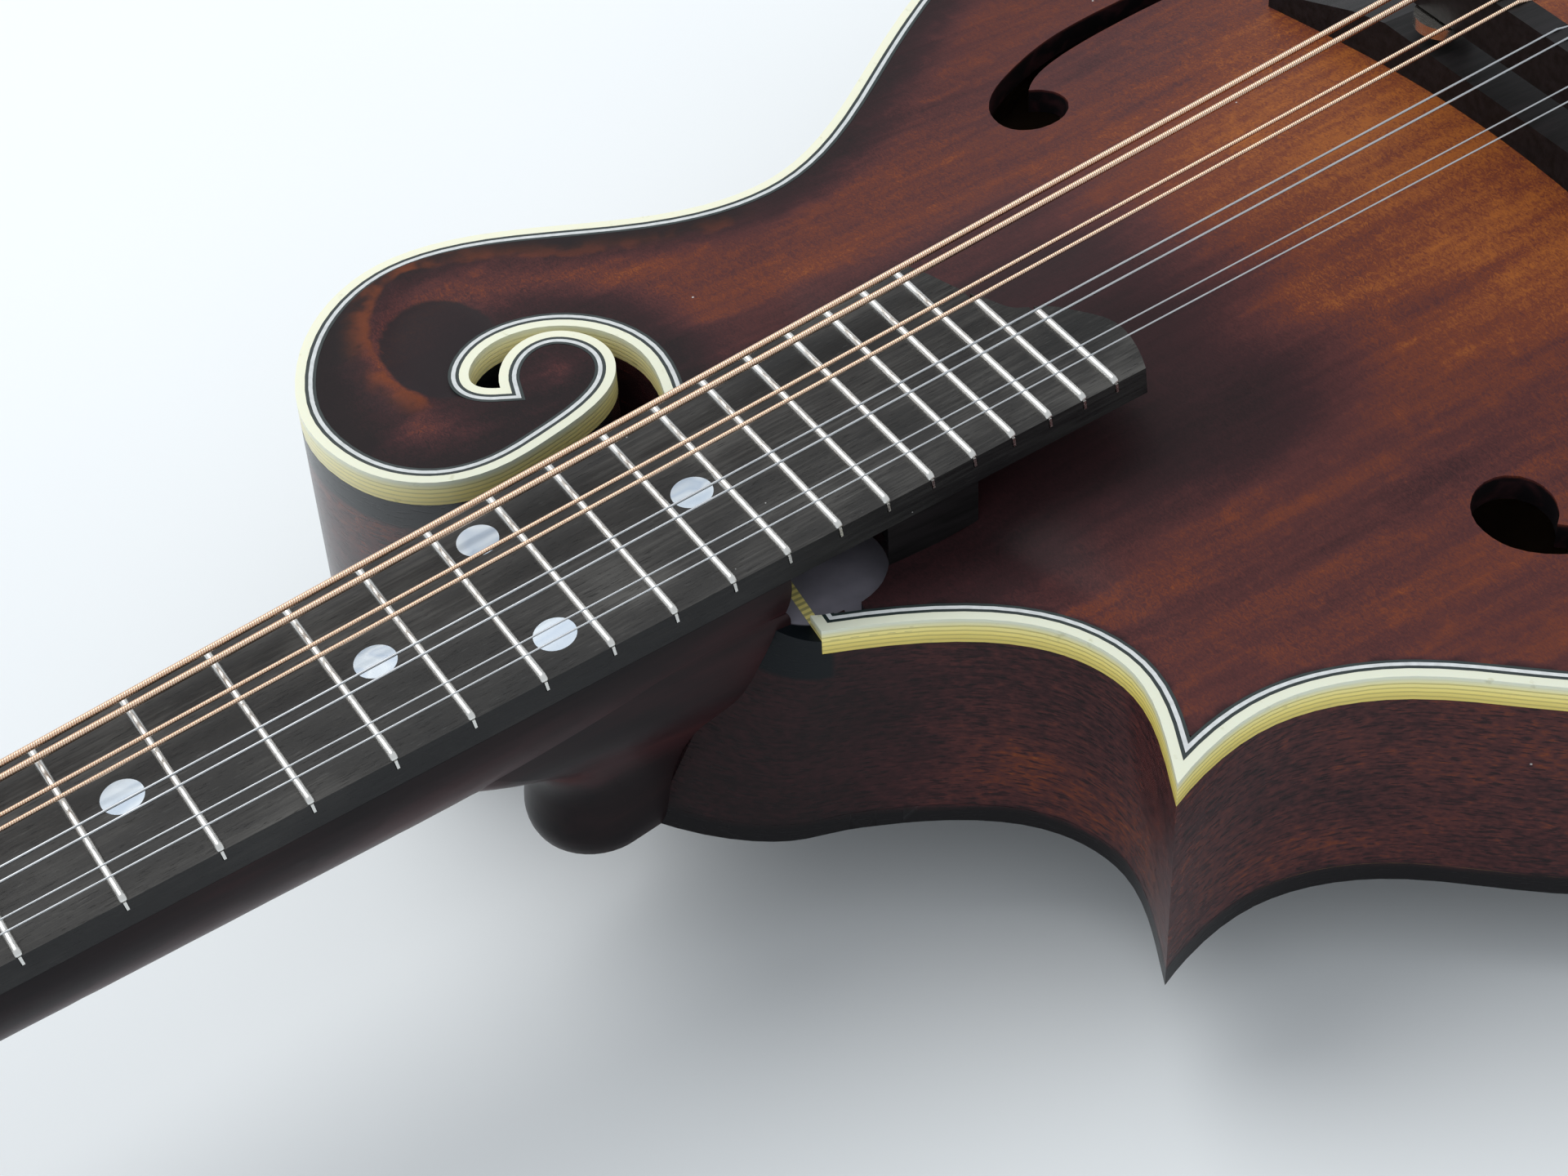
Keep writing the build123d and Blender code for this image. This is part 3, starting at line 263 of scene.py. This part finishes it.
def side_finish(name, gloss=0.13, bare_inside=False):
    """Mahogany under dark stain: fine level grain with short dark pores, black along the back's edge and in a
    band over the prow, beside the neck joint, with the bare disc on the prow's top in grey-purple brightened
    as a painted reflection."""
    f = Finish(name, 0.27, Specular_IOR_Level=gloss)
    grain = f.noise(f.stretch(0.09, 0.09, 1.1), 4, 0.62, 0.4)
    pores = f.noise(f.stretch(0.40, 0.40, 2.6), 2, 0.5)
    flecks = f.noise(f.stretch(0.62, 0.62, 1.5), 3, 0.6)
    blotches = f.noise(f.stretch(0.12, 0.12, 0.16, (4, 0, 2)), 3, 0.6, 0.8)
    clouds = f.noise(f.stretch(0.025, 0.025, 0.05, (4, 0, 2)), 2)
    tone = f.sway(0.53, grain, 0.45)
    tone = f.sway(tone, flecks, 0.80)
    tone = f.sway(tone, clouds, 0.75)
    tone = f.sway(tone, blotches, 0.35)
    tone = f.times(tone, f.rise(pores, 0.34, 0.46, 0.55, 1.0))
    height = f.part(f.mm, 2)
    edge = f.sway(height, clouds, 3.0)
    tone = f.times(tone, f.rise(edge, -39.6, -37.6, 0.0, 1.0))
    joint = f.away((0.0, 12.0), 30.0, 26.0)
    tone = f.times(tone, f.rise(joint, 0.9, 2.0, 0.45, 1.0))
    over = f.times(f.rise(f.part(f.mm, 1), -3.4, -2.4), f.rise(f.part(f.mm, 0), -40.0, -39.0))
    over = f.times(over, f.rise(edge, -9.6, -8.6))
    colour = f.ramp(tone, STAIN)
    colour = f.mix(over, colour, (0.006, 0.008, 0.010))
    # The disc on the prow's top takes the spot face's grey-purple, brightened as a painted reflection.
    from_spot = f.away(SPOT_CENTRE)
    disc = f.times(f.rise(from_spot, SPOT_RADIUS + 0.1, SPOT_RADIUS - 0.3),
                   f.rise(height, -SPOT_DEPTH - 0.08, -SPOT_DEPTH - 0.04))
    colour = f.mix(disc, colour, SPOT_SHEEN_GREY)
    if bare_inside:
        inside = f.times(f.rise(f.facing(2), 0.3, 0.6), f.rise(f.part(f.mm, 1), -40.0, -55.0))
        colour = f.mix(inside, colour, (0.30, 0.19, 0.11))
    dust = f.rise(f.cells(f.stretch(0.075, 0.075, 0.075)), 0.018, 0.009)
    f.colour(f.mix(dust, colour, (0.45, 0.43, 0.42)))
    f.bump(f.calc("ADD", grain, f.rise(pores, 0.34, 0.42)), 0.02)
    return f.material


def neck_finish():
    """Near-black stain on the neck, with a dull red glow along the shaft."""
    f = Finish("neck_stain", 0.36, pitch=NECK_PITCH, Specular_IOR_Level=0.12)
    grain = f.noise(f.stretch(0.6, 0.03, 0.6), 4, 0.6)
    clouds = f.noise(f.stretch(0.05, 0.02, 0.05), 3)
    under = f.rise(f.facing(2), -0.05, -0.6, 0.14, 0.40)
    tone = f.sway(under, grain, 0.25)
    tone = f.sway(tone, clouds, 0.8)
    f.colour(f.ramp(tone, STAIN))
    f.bump(grain, 0.015)
    return f.material


def stained_black(name):
    """Wood stained black, with faint grain."""
    f = Finish(name, 0.45, Specular_IOR_Level=0.15)
    grain = f.noise(f.stretch(0.8, 0.08, 0.8), 3)
    f.colour(f.ramp(grain, [(0.3, (0.005, 0.005, 0.005)), (0.7, (0.014, 0.012, 0.013))]))
    f.bump(grain, 0.04)
    return f.material


def pale_wood(name):
    """Bare tonewood inside the body, toned brown by age."""
    f = Finish(name, 0.7)
    grain = f.noise(f.stretch(0.9, 0.03, 0.9), 4, 0.6)
    f.colour(f.ramp(grain, [(0.25, (0.12, 0.075, 0.04)), (0.75, (0.24, 0.15, 0.085))]))
    f.bump(grain, 0.05)
    return f.material


def fingerboard_finish():
    """Open-grained ebony: near black, with fine grey streaks and short dark pores along the board, and a
    greyer worn bloom in broad clouds."""
    f = Finish("blackened_board", 0.46, pitch=NECK_PITCH, Specular_IOR_Level=0.28)
    streaks = f.noise(f.stretch(1.5, 0.05, 1.5), 5, 0.65)
    pores = f.noise(f.stretch(4.2, 0.34, 4.2), 3, 0.6)
    clouds = f.noise(f.stretch(0.10, 0.045, 0.10), 3)
    tone = f.sway(streaks, clouds, 1.1)
    colour = f.ramp(tone, [(0.28, (0.006, 0.006, 0.006)), (0.5, (0.018, 0.017, 0.016)),
                           (0.78, (0.062, 0.060, 0.056))])
    light = f.rise(pores, 0.60, 0.74)
    colour = f.mix(f.times(light, 0.30), colour, (0.12, 0.12, 0.115))
    dark = f.rise(pores, 0.40, 0.30)
    colour = f.mix(f.times(dark, 0.85), colour, (0.003, 0.003, 0.003))
    sideways = f.calc("ABSOLUTE", f.facing(0))
    colour = f.mix(f.rise(sideways, 0.5, 0.8, 0.0, 0.7), colour, (0.006, 0.006, 0.007))
    dust = f.rise(f.cells(f.stretch(0.16, 0.16, 0.16)), 0.024, 0.012)
    f.colour(f.mix(dust, colour, (0.45, 0.45, 0.44)))
    f.rough(f.rise(streaks, 0.3, 0.7, 0.40, 0.54))
    f.bump(f.calc("SUBTRACT", streaks, f.times(dark, 0.6)), 0.035)
    return f.material


def binding_finish():
    """Grained ivoroid: pale along its top edge, straw yellow down the side with fine darker laminations, and
    their ends as cross bars where the strip is cut open beside the neck; a painted reflection makes it paler
    and greyer towards the scroll."""
    f = Finish("laminated_ivory", 0.36, Subsurface_Weight=0.05, Coat_Weight=0.2, Coat_Roughness=0.2)
    wander = f.noise(f.stretch(0.05, 0.05, 0.4), 2)
    height = f.sway(f.part(f.mm, 2), wander, 0.25)
    base = f.ramp(f.rise(height, -4.5, 0.0), [(0.0, (0.70, 0.56, 0.12)), (0.35, (0.90, 0.74, 0.20)),
                                              (0.72, (0.92, 0.80, 0.30)), (0.9, (0.80, 0.76, 0.45)),
                                              (1.0, (0.73, 0.745, 0.60))])
    wave = f.calc("SINE", f.times(height, 2 * math.pi / 0.82))
    line = f.times(f.rise(wave, 0.2, 0.95), f.rise(height, -0.55, -0.95))
    colour = f.mix(f.times(line, 0.6), base, (0.36, 0.30, 0.08))
    bars = f.calc("SINE", f.times(f.part(f.mm, 0), 2 * math.pi / 1.1))
    level = f.calc("ABSOLUTE", f.calc("ADD", f.part(f.mm, 2), SPOT_DEPTH))
    opened = f.times(f.rise(f.part(f.mm, 1), -14.0, -13.0), f.rise(level, 0.06, 0.03))
    opened = f.times(opened, f.rise(f.part(f.mm, 0), -8.0, -8.6))
    opened = f.times(opened, f.rise(bars, -0.2, 0.5))
    colour = f.mix(f.times(opened, 0.7), colour, (0.30, 0.28, 0.13))
    # Painted reflection: the binding turns paler and greyer towards the scroll side, where the lamp and the
    # bright room shine on it.
    reflection_paler = f.rise(f.part(f.mm, 0), 15.0, 60.0, 0.0, 0.5)
    colour = f.mix(reflection_paler, colour, (0.92, 0.91, 0.70))
    stain = f.rise(f.noise(f.stretch(0.4, 0.4, 0.5), 3), 0.62, 0.8, 0.0, 0.5)
    f.colour(f.mix(stain, colour, (0.36, 0.33, 0.12)))
    f.bump(line, -0.03)
    return f.material


def plain_line(name, colour, roughness):
    """A thin strip of fibre: one colour with a faint cloudiness."""
    f = Finish(name, roughness)
    clouds = f.noise(f.stretch(0.8, 0.8, 0.8), 3)
    darker = tuple(c * 0.8 for c in colour)
    f.colour(f.ramp(clouds, [(0.3, darker), (0.7, colour)]))
    return f.material


def pearl_finish(name, warm=False):
    """Mother-of-pearl: broad soft bands of pale blue and white, slightly folded."""
    f = Finish(name, 0.25, Coat_Weight=0.5, Coat_Roughness=0.1)
    bands = f.noise(f.stretch(0.20, 0.10, 0.2, (3, 1, 0)), 1, 0.4, 0.6)
    if warm:
        stops = [(0.3, (0.62, 0.60, 0.50)), (0.5, (0.80, 0.79, 0.72)), (0.7, (0.70, 0.66, 0.54))]
    else:
        stops = [(0.30, (0.38, 0.47, 0.58)), (0.42, (0.52, 0.60, 0.68)), (0.50, (0.62, 0.69, 0.75)),
                 (0.58, (0.44, 0.53, 0.64)), (0.70, (0.58, 0.65, 0.71))]
    f.colour(f.ramp(bands, stops))
    return f.material


def metal_finish(name, colour, roughness, along=(1.0, 1.0, 1.0), pitch=0.0, tarnish=0.25):
    """Polished metal with faint polishing lines and a little tarnish."""
    f = Finish(name, roughness, pitch=pitch, Metallic=1.0)
    lines = f.noise(f.stretch(*along), 4, 0.6)
    dull = f.rise(f.noise(f.stretch(0.12, 0.12, 0.12), 3), 0.45, 0.75, 0.0, tarnish)
    f.colour(f.mix(dull, colour, tuple(c * 0.55 for c in colour)))
    f.rough(f.rise(lines, 0.25, 0.75, roughness * 0.7, roughness * 1.4))
    f.bump(lines, 0.004)
    return f.material


def winding_finish():
    """Phosphor bronze ribbon wound round a core: fine slanting turns, with painted shade between the turns
    and a painted highlight on their crowns.
    """
    f = Finish("bronze_winding", 0.30, pitch=NECK_PITCH, Metallic=1.0)
    turn = f.calc("MULTIPLY_ADD", f.part(f.mm, 0), 0.35, f.part(f.mm, 1))
    wave = f.calc("SINE", f.times(turn, 2 * math.pi / 0.36))
    # Painted shade in the grooves between turns and painted highlight on the crowns, over the bronze's own
    # colour.
    f.colour(f.ramp(f.rise(wave, -1.0, 1.0), [(0.0, (0.52, 0.31, 0.20)), (0.4, (0.86, 0.58, 0.40)),
                                              (1.0, (0.98, 0.78, 0.61))]))
    f.bump(wave, 0.03)
    return f.material


finishes = {
    "soundboard": soundboard_finish(),
    "side": side_finish("mahogany_side"),
    "scroll_side": side_finish("mahogany_scroll", 0.9),
    "back": side_finish("mahogany_back", bare_inside=True),
    "neck": neck_finish(),
    "black": stained_black("black_stain"),
    "pale": pale_wood("bare_wood"),
    "board": fingerboard_finish(),
    "ivory": binding_finish(),
    "black_line": plain_line("black_fibre", (0.010, 0.022, 0.022), 0.4),
    "white_line": plain_line("white_fibre", (0.66, 0.69, 0.70), 0.4),
    "pearl": pearl_finish("shell_pearl"),
    "pearloid": pearl_finish("pearloid", warm=True),
    "bone": plain_line("bone", (0.72, 0.66, 0.50), 0.3),
    "fret": metal_finish("fret_wire", (0.74, 0.735, 0.71), 0.27, (0.3, 5, 5), NECK_PITCH),
    "nickel": metal_finish("nickel_plate", (0.70, 0.68, 0.63), 0.2, (0.5, 3, 3)),
    "steel": metal_finish("plain_steel", (0.52, 0.54, 0.56), 0.32, (4, 0.2, 4)),
    "bronze": winding_finish(),
    "spot": spot_sheen_finish(),
}

dress = {
    "soundboard": ["top_plate"],
    "scroll_side": ["rib_scroll_side"],
    "side": ["rib_cutaway", "rib_waist", "rib_lower_bout", "head_block"],
    "back": ["back_plate"],
    "neck": ["neck"],
    "black": ["riser", "headstock_overlay", "truss_rod_cover", "bridge_base", "bridge_saddle", "end_pin"],
    "pale": ["scroll_block", "point_blocks", "tail_block", "top_lining", "back_lining", "tone_bars"],
    "board": ["fretboard"],
    "ivory": ["binding"],
    "black_line": ["purfling_black"],
    "white_line": ["purfling_white", "side_dots"],
    "pearl": ["fret_dots"],
    "pearloid": ["tuner_shaft_%d" % k for k in range(1, 9)],
    "bone": ["nut"],
    "fret": ["frets"],
    "nickel": ["tuner_plate_bass", "tuner_plate_treble", "tuner_screws", "small_screws", "tuner_bushings",
               "bridge_posts", "thumbwheel_treble", "thumbwheel_bass", "tailpiece_base", "tailpiece_cover"]
              + ["tuner_post_%d" % k for k in range(1, 9)],
    "steel": ["strings_plain", "truss_rod"],
    "bronze": ["strings_wound"],
}
for finish, names in dress.items():
    for name in names:
        mesh = nodes[name].data
        mesh.materials.clear()
        mesh.materials.append(finishes[finish])


# ---- Soundboard --------------------------------------------------------------------------------------
TOP_ARCH, TOP_THICKNESS = 12.0, 4.5
PEAK_Y, HEAD_REACH, TAIL_REACH = -165.0, 210.0, 140.0
BOUT_Y, WAIST_Y, SHOULDER_Y = -184.0, -45.0, -27.0
HALF_BOUT, HALF_WAIST, HALF_SHOULDER = 118.0, 62.0, 22.0
CREST = ((50.3, 20.5), (56.0, 22.8), (62.2, 23.7), (71.3, 21.7), (78.6, 17.0), (82.3, 10.1), (79.3, 1.2),
         (71.3, -13.2), (66.9, -22.7), (63.5, -34.0), (62.5, -46.0))
DISH_CENTRE, DISH_WAY, DISH_REACH = (62.5, 14.0), (0.95, -0.3), (13.0, 10.0)
CREST_RISE, CREST_OUTSIDE, CREST_INSIDE = 0.35, 7, 4
DISH_DEPTH, STAIN_DEPTH = 0.4, 0.04                         # the stained face lies just under the wood's
FIELD_STEP, QUICK_STEP, FLOOR_STEP = 1.6, 4.0, 0.8
FIELD_REACH, FLOOR_REACH = (-128, 128, -312, 40), (-30, 4, -22, 12)     # x0, x1, y0, y1 of the two sheets


def half_cosine(ratio):
    """1 at 0, falling to 0 at 1 and beyond, either way."""
    return (1 + np.cos(np.pi * np.clip(np.abs(ratio), 0, 1))) / 2


def arch(x, y):
    """Height over the rim: half a cosine along from the peak times half a cosine across, whose width
    follows an ellipse round the tail and narrows to the waist and under the board."""
    tail = HALF_BOUT * np.sqrt(1 - np.clip((BOUT_Y - y) / (BOUT_Y - PEAK_Y + TAIL_REACH), 0, 1) ** 2)
    middle = HALF_WAIST + (HALF_BOUT - HALF_WAIST) * half_cosine((y - BOUT_Y) / (WAIST_Y - BOUT_Y))
    to_shoulder = half_cosine((y - WAIST_Y) / (SHOULDER_Y - WAIST_Y))
    neck = HALF_SHOULDER + (HALF_WAIST - HALF_SHOULDER) * to_shoulder
    width = np.where(y < BOUT_Y, np.maximum(tail, 1), np.where(y < WAIST_Y, middle, neck))
    reach = np.where(y > PEAK_Y, HEAD_REACH, TAIL_REACH)
    return TOP_ARCH * half_cosine((y - PEAK_Y) / reach) * half_cosine(x / width)


def smooth_line(points, steps=12):
    """A curve through points: each span is the cubic whose end slopes join its neighbours' ends."""
    p = np.array(points, float)
    p = np.vstack([2 * p[0] - p[1], p, 2 * p[-1] - p[-2]])
    t = np.linspace(0, 1, steps, endpoint=False)[:, None]
    spans = [b + (c - a) / 2 * t + (a - 2.5 * b + 2 * c - d / 2) * t ** 2
             + (1.5 * (b - c) + (d - a) / 2) * t ** 3
             for a, b, c, d in zip(p, p[1:], p[2:], p[3:])]
    return np.vstack(spans + [p[-2:-1]])


def to_line(places, line):
    """Signed distance from a line, positive on its left, and the share of the way along it."""
    a, b = line[:-1], line[1:]
    run = b - a
    t = np.clip(((places[:, None] - a) * run).sum(-1) / (run ** 2).sum(-1), 0, 1)
    gap = places[:, None] - (a + t[..., None] * run)
    away = np.hypot(gap[..., 0], gap[..., 1])
    best = away.argmin(1)
    rows = np.arange(len(best))
    side = run[best, 0] * gap[rows, best, 1] - run[best, 1] * gap[rows, best, 0]
    return away[rows, best] * np.sign(side), (best + t[rows, best]) / len(run)


def smooth(value, low, high):
    """From 0 to 1 as value goes from low to high."""
    t = np.clip((value - low) / (high - low), 0, 1)
    return t * t * (3 - 2 * t)


def scroll_marks(places):
    """On the scroll: distance from the crest line, share of the way along it, and the dish from 0 to 1."""
    crest, along = to_line(places, smooth_line(CREST))
    x, y = (places - DISH_CENTRE).T
    u = (x * DISH_WAY[0] + y * DISH_WAY[1]) / DISH_REACH[0]
    v = (x * -DISH_WAY[1] + y * DISH_WAY[0]) / DISH_REACH[1]
    dish = smooth(np.hypot(u, v), 1.08, 0.8) * smooth(-crest, -0.3, 0.6)
    return crest, along, dish


def node_points(name):
    """A node's corners in the body frame."""
    mesh = nodes[name].data
    spots = np.empty(len(mesh.vertices) * 3)
    mesh.vertices.foreach_get("co", spots)
    return to_body(spots.reshape(-1, 3))


def bvh_of(name):
    """A node's surface in the body frame, for rays and nearest places."""
    faces = [tuple(p.vertices) for p in nodes[name].data.polygons]
    return BVHTree.FromPolygons(node_points(name).tolist(), faces)


def cut_sheet(inside, reach, step):
    """A square grid cut off at the edge of a shape: cells inside are kept whole, and each edge that leaves
    the shape is halved again and again to find where.  Gives the places and the faces."""
    x0, x1, y0, y1 = reach
    xs, ys = np.arange(x0, x1 + step, step), np.arange(y0, y1 + step, step)
    within = np.array([[inside(x, y) for x in xs] for y in ys])
    places, names, faces = [], {}, []

    def place(key, point):
        if key not in names:
            names[key] = len(places)
            places.append(point)
        return names[key]

    def leaving(a, b):
        key = (min(a, b), max(a, b))
        if key in names:
            return names[key]
        kept, lost = (a, b) if within[a[1], a[0]] else (b, a)
        kept, lost = np.array((xs[kept[0]], ys[kept[1]])), np.array((xs[lost[0]], ys[lost[1]]))
        for _ in range(9):
            half = (kept + lost) / 2
            if inside(*half):
                kept = half
            else:
                lost = half
        return place(key, tuple(kept))

    for j in range(len(ys) - 1):
        for i in range(len(xs) - 1):
            corners = [(i, j), (i + 1, j), (i + 1, j + 1), (i, j + 1)]
            kept = [within[c[1], c[0]] for c in corners]
            if not any(kept):
                continue
            ring = []
            for k, corner in enumerate(corners):
                after = (k + 1) % 4
                if kept[k]:
                    ring.append(place(corner, (xs[corner[0]], ys[corner[1]])))
                if kept[k] != kept[after]:
                    ring.append(leaving(corner, corners[after]))
            if len(ring) > 2:
                faces.append(ring)
    return np.array(places), faces


def closed_sheet(faces, count):
    """The faces of a sheet, its under side and the walls between: count places above, as many below."""
    edges = {(a, b) for ring in faces for a, b in zip(ring, ring[1:] + ring[:1])}
    walls = [(b, a, a + count, b + count) for a, b in edges if (b, a) not in edges]
    return faces + [[count + k for k in reversed(ring)] for ring in faces] + walls


def piece(name, points, faces, finish, body="instrument", stands_for=(), marks=None):
    """A closed mesh from body frame points, with its finish and its values per point."""
    mesh = bpy.data.meshes.new(name)
    mesh.from_pydata(to_row(points).tolist(), [], [list(f) for f in faces])
    for mark, values in (marks or {}).items():
        made = mesh.attributes.new(mark, "FLOAT", "POINT")
        made.data.foreach_set("value", np.asarray(values, np.float32))
    mesh.shade_smooth()
    mesh.set_sharp_from_angle(angle=math.radians(40))
    mesh.materials.append(finishes[finish])
    made = bpy.data.objects.new(name, mesh)
    bpy.context.scene.collection.objects.link(made)
    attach(made, body)
    if stands_for:
        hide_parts(*stands_for)
    return made


def soundboard():
    """The top as two cut sheets: the arched field, and the sunk floor of the spot face."""
    top, edge = bvh_of("top_plate"), bvh_of("binding")

    def seen(x, y):
        hit = top.ray_cast(Vector((x, y, 30)), Vector((0, 0, -1)))[0]
        return None if hit is None else hit.z

    def on_field(x, y):
        z = seen(x, y)
        return z is not None and z > -1

    def on_floor(x, y):
        z = seen(x, y)
        return z is not None and -3 < z < -1

    places, faces = cut_sheet(on_field, FIELD_REACH, FIELD_STEP)
    crest, along, dish = scroll_marks(places)
    rim = [edge.find_nearest(Vector((x, y, 0)))[3] for x, y in places]
    ridge = np.where(crest > 0, half_cosine(crest / CREST_OUTSIDE), half_cosine(crest / CREST_INSIDE))
    ridge = ridge * smooth(along, 0, 0.08) * smooth(along, 1, 0.7)
    height = arch(*places.T) + CREST_RISE * ridge - DISH_DEPTH * dish - STAIN_DEPTH
    under = np.minimum(height, arch(*places.T)) - TOP_THICKNESS
    points = np.vstack([np.column_stack([places, z]) for z in (height, under)])
    marks = {"rim": rim, "crest": crest, "along": along, "dish": dish}
    marks = {mark: np.tile(values, 2) for mark, values in marks.items()}
    marks["depth"] = np.repeat((0, 1), len(places))
    piece("soundboard", points, closed_sheet(faces, len(places)), "soundboard",
          stands_for=["top_plate"], marks=marks)
    places, faces = cut_sheet(on_floor, FLOOR_REACH, FLOOR_STEP)
    points = np.vstack([np.column_stack([places, np.full(len(places), z)])
                        for z in (-SPOT_DEPTH, -TOP_THICKNESS)])
    piece("spot_face_floor", points, closed_sheet(faces, len(places)), "spot")


# ---- Frets -------------------------------------------------------------------------------------------
FRETS = 23
FRET_WIDTH, FRET_HEIGHT, FRET_ROUNDING = 1.4, 0.95, 1.0
TANG_WIDTH, TANG_DEPTH, TANG_PROUD = 0.5, 1.7, 0.05
JOINT_HALF_WIDTH, NUT_HALF_WIDTH = 19.2, 14.3


def fret_y(number):
    """Board frame: 0 at the joint fret, the nut at JOINT."""
    return JOINT - SCALE * (1 - 2 ** (-number / 12))


def to_board(points):
    """Body frame to board frame."""
    return pitched(np.asarray(points, float) - (0, 0, BOARD_HEIGHT), -NECK_PITCH, (0, 0, 0))


def skin(rings):
    """Faces of a closed tube through rings of as many points, with both ends capped."""
    rows, count = rings.shape[:2]
    k = np.arange(rows * count).reshape(rows, count)
    ahead = np.roll(k, -1, 1)
    sides = np.stack([k[:-1], ahead[:-1], ahead[1:], k[1:]], -1).reshape(-1, 4).tolist()
    return sides + [k[0, ::-1].tolist(), k[-1].tolist()]


def gather(shells):
    """Several closed tubes as one list of points and one of faces."""
    points, faces = [], []
    for rings in shells:
        base = sum(len(p) for p in points)
        faces += [[base + i for i in face] for face in skin(rings)]
        points.append(rings.reshape(-1, 3))
    return np.vstack(points), faces


def fret_wire(y, x0, x1):
    """A crown of half an ellipse from x0 to x1, which sinks to each end as a quarter of a circle."""
    turn = np.linspace(0, math.pi, 11)
    sink = np.linspace(0.04, 1, 7)
    x = np.concatenate([x0 + FRET_ROUNDING * sink, x1 - FRET_ROUNDING * sink[::-1]])
    rise = np.sqrt(1 - (1 - sink) ** 2)
    rise = np.concatenate([rise, rise[::-1]])[:, None]
    across = FRET_WIDTH / 2 * np.cos(turn) * (0.55 + 0.45 * rise)
    up = FRET_HEIGHT * np.sin(turn) * rise - 0.03
    return np.stack([np.broadcast_to(x[:, None], across.shape), y + across, up], -1)


def tang(x0, x1, y):
    """The wire's foot, seen in its slot at the board's side."""
    half = TANG_WIDTH / 2
    ring = np.array([(y - half, -TANG_DEPTH), (y + half * 0.6, -TANG_DEPTH),
                     (y + half, -0.1), (y - half * 0.8, -0.1)])
    return np.stack([np.column_stack([np.full(4, x), ring]) for x in sorted((x0, x1))])


def frets():
    """Every wire, as long as the modelled one in its place, with its tangs' ends at the board's sides."""
    wire = to_board(node_points("frets"))
    shells = []
    for number in range(1, FRETS + 1):
        y = fret_y(number)
        near = wire[(np.abs(wire[:, 1] - y) < 1.3) & (wire[:, 2] > -0.1)]
        x0, x1 = near[:, 0].min(), near[:, 0].max()
        edge = JOINT_HALF_WIDTH - (JOINT_HALF_WIDTH - NUT_HALF_WIDTH) / JOINT * y
        shells.append(fret_wire(y, x0 + 0.1, x1 - 0.1))
        sides = (-1, 1) if x1 > edge - 2 else (-1,)         # the board's end cuts the last wires short
        shells += [tang(side * (edge - 1), side * (edge + TANG_PROUD), y) for side in sides]
    points, faces = gather(shells)
    piece("fret_wires", board(points), faces, "fret", stands_for=["frets"])


soundboard()
frets()


# ---- Stage -------------------------------------------------------------------------------------------
def backdrop():
    """A pale floor, wide and flat."""
    size = 6.0
    mesh = bpy.data.meshes.new("floor")
    corners = [(-size, -size, 0), (size, -size, 0), (size, size, 0), (-size, size, 0)]
    mesh.from_pydata(corners, [], [(0, 1, 2, 3)])
    floor = bpy.data.objects.new("floor", mesh)
    bpy.context.scene.collection.objects.link(floor)
    f = Finish("white_paper", 0.75)
    f.shader.inputs["Specular IOR Level"].default_value = 0.15
    clouds = f.noise(f.stretch(0.004, 0.004, 0.004), 2)
    f.colour(f.ramp(clouds, [(0.3, (0.80, 0.835, 0.86)), (0.7, (0.83, 0.865, 0.885))]))
    mesh.materials.append(f.material)


def lamp(name, place, target, size, power, colour):
    """A round soft light at a place, turned to a target."""
    light = bpy.data.lights.new(name, "AREA")
    light.shape, light.size, light.energy, light.color = "DISK", size, power, colour
    made = bpy.data.objects.new(name, light)
    made.location = place
    made.rotation_euler = (Vector(target) - Vector(place)).to_track_quat("-Z", "Y").to_euler()
    bpy.context.scene.collection.objects.link(made)


backdrop()
lamp("soft_window", (1.2, 0.45, 2.0), (0.0, 0.0, 0.0), 2.3, 34.0, (1.0, 0.99, 0.97))
world = bpy.data.worlds.new("studio")
world.use_nodes = True
sky = world.node_tree.nodes["Background"]
sky.inputs["Color"].default_value = (0.93, 0.965, 1.0, 1)
sky.inputs["Strength"].default_value = 0.76
bpy.context.scene.world = world
bpy.context.scene.view_settings.view_transform = "Standard"

# the camera in the body frame: its place, its three directions and its focal length over the frame's width
VIEW_PLACE = (-294.87, 156.1, 307.61)
VIEW_RIGHT, VIEW_DOWN = (-0.52529, -0.84981, -0.04359), (-0.57124, 0.39014, -0.72213)
VIEW_AHEAD = (0.63068, -0.35443, -0.69038)
FOCAL_SHARE = 3842 / 1920
camera_data = bpy.data.cameras.new("camera")
camera_data.sensor_width = 36.0
camera_data.lens = FOCAL_SHARE * camera_data.sensor_width
camera = bpy.data.objects.new("camera", camera_data)
right, down, ahead = (TURN @ np.array(v) for v in (VIEW_RIGHT, VIEW_DOWN, VIEW_AHEAD))
axes = np.eye(4)
axes[:3, 0], axes[:3, 1], axes[:3, 2] = right, -down, -ahead
axes[:3, 3] = to_row(VIEW_PLACE)
camera.matrix_world = Matrix(axes)
bpy.context.scene.collection.objects.link(camera)
bpy.context.scene.camera = camera
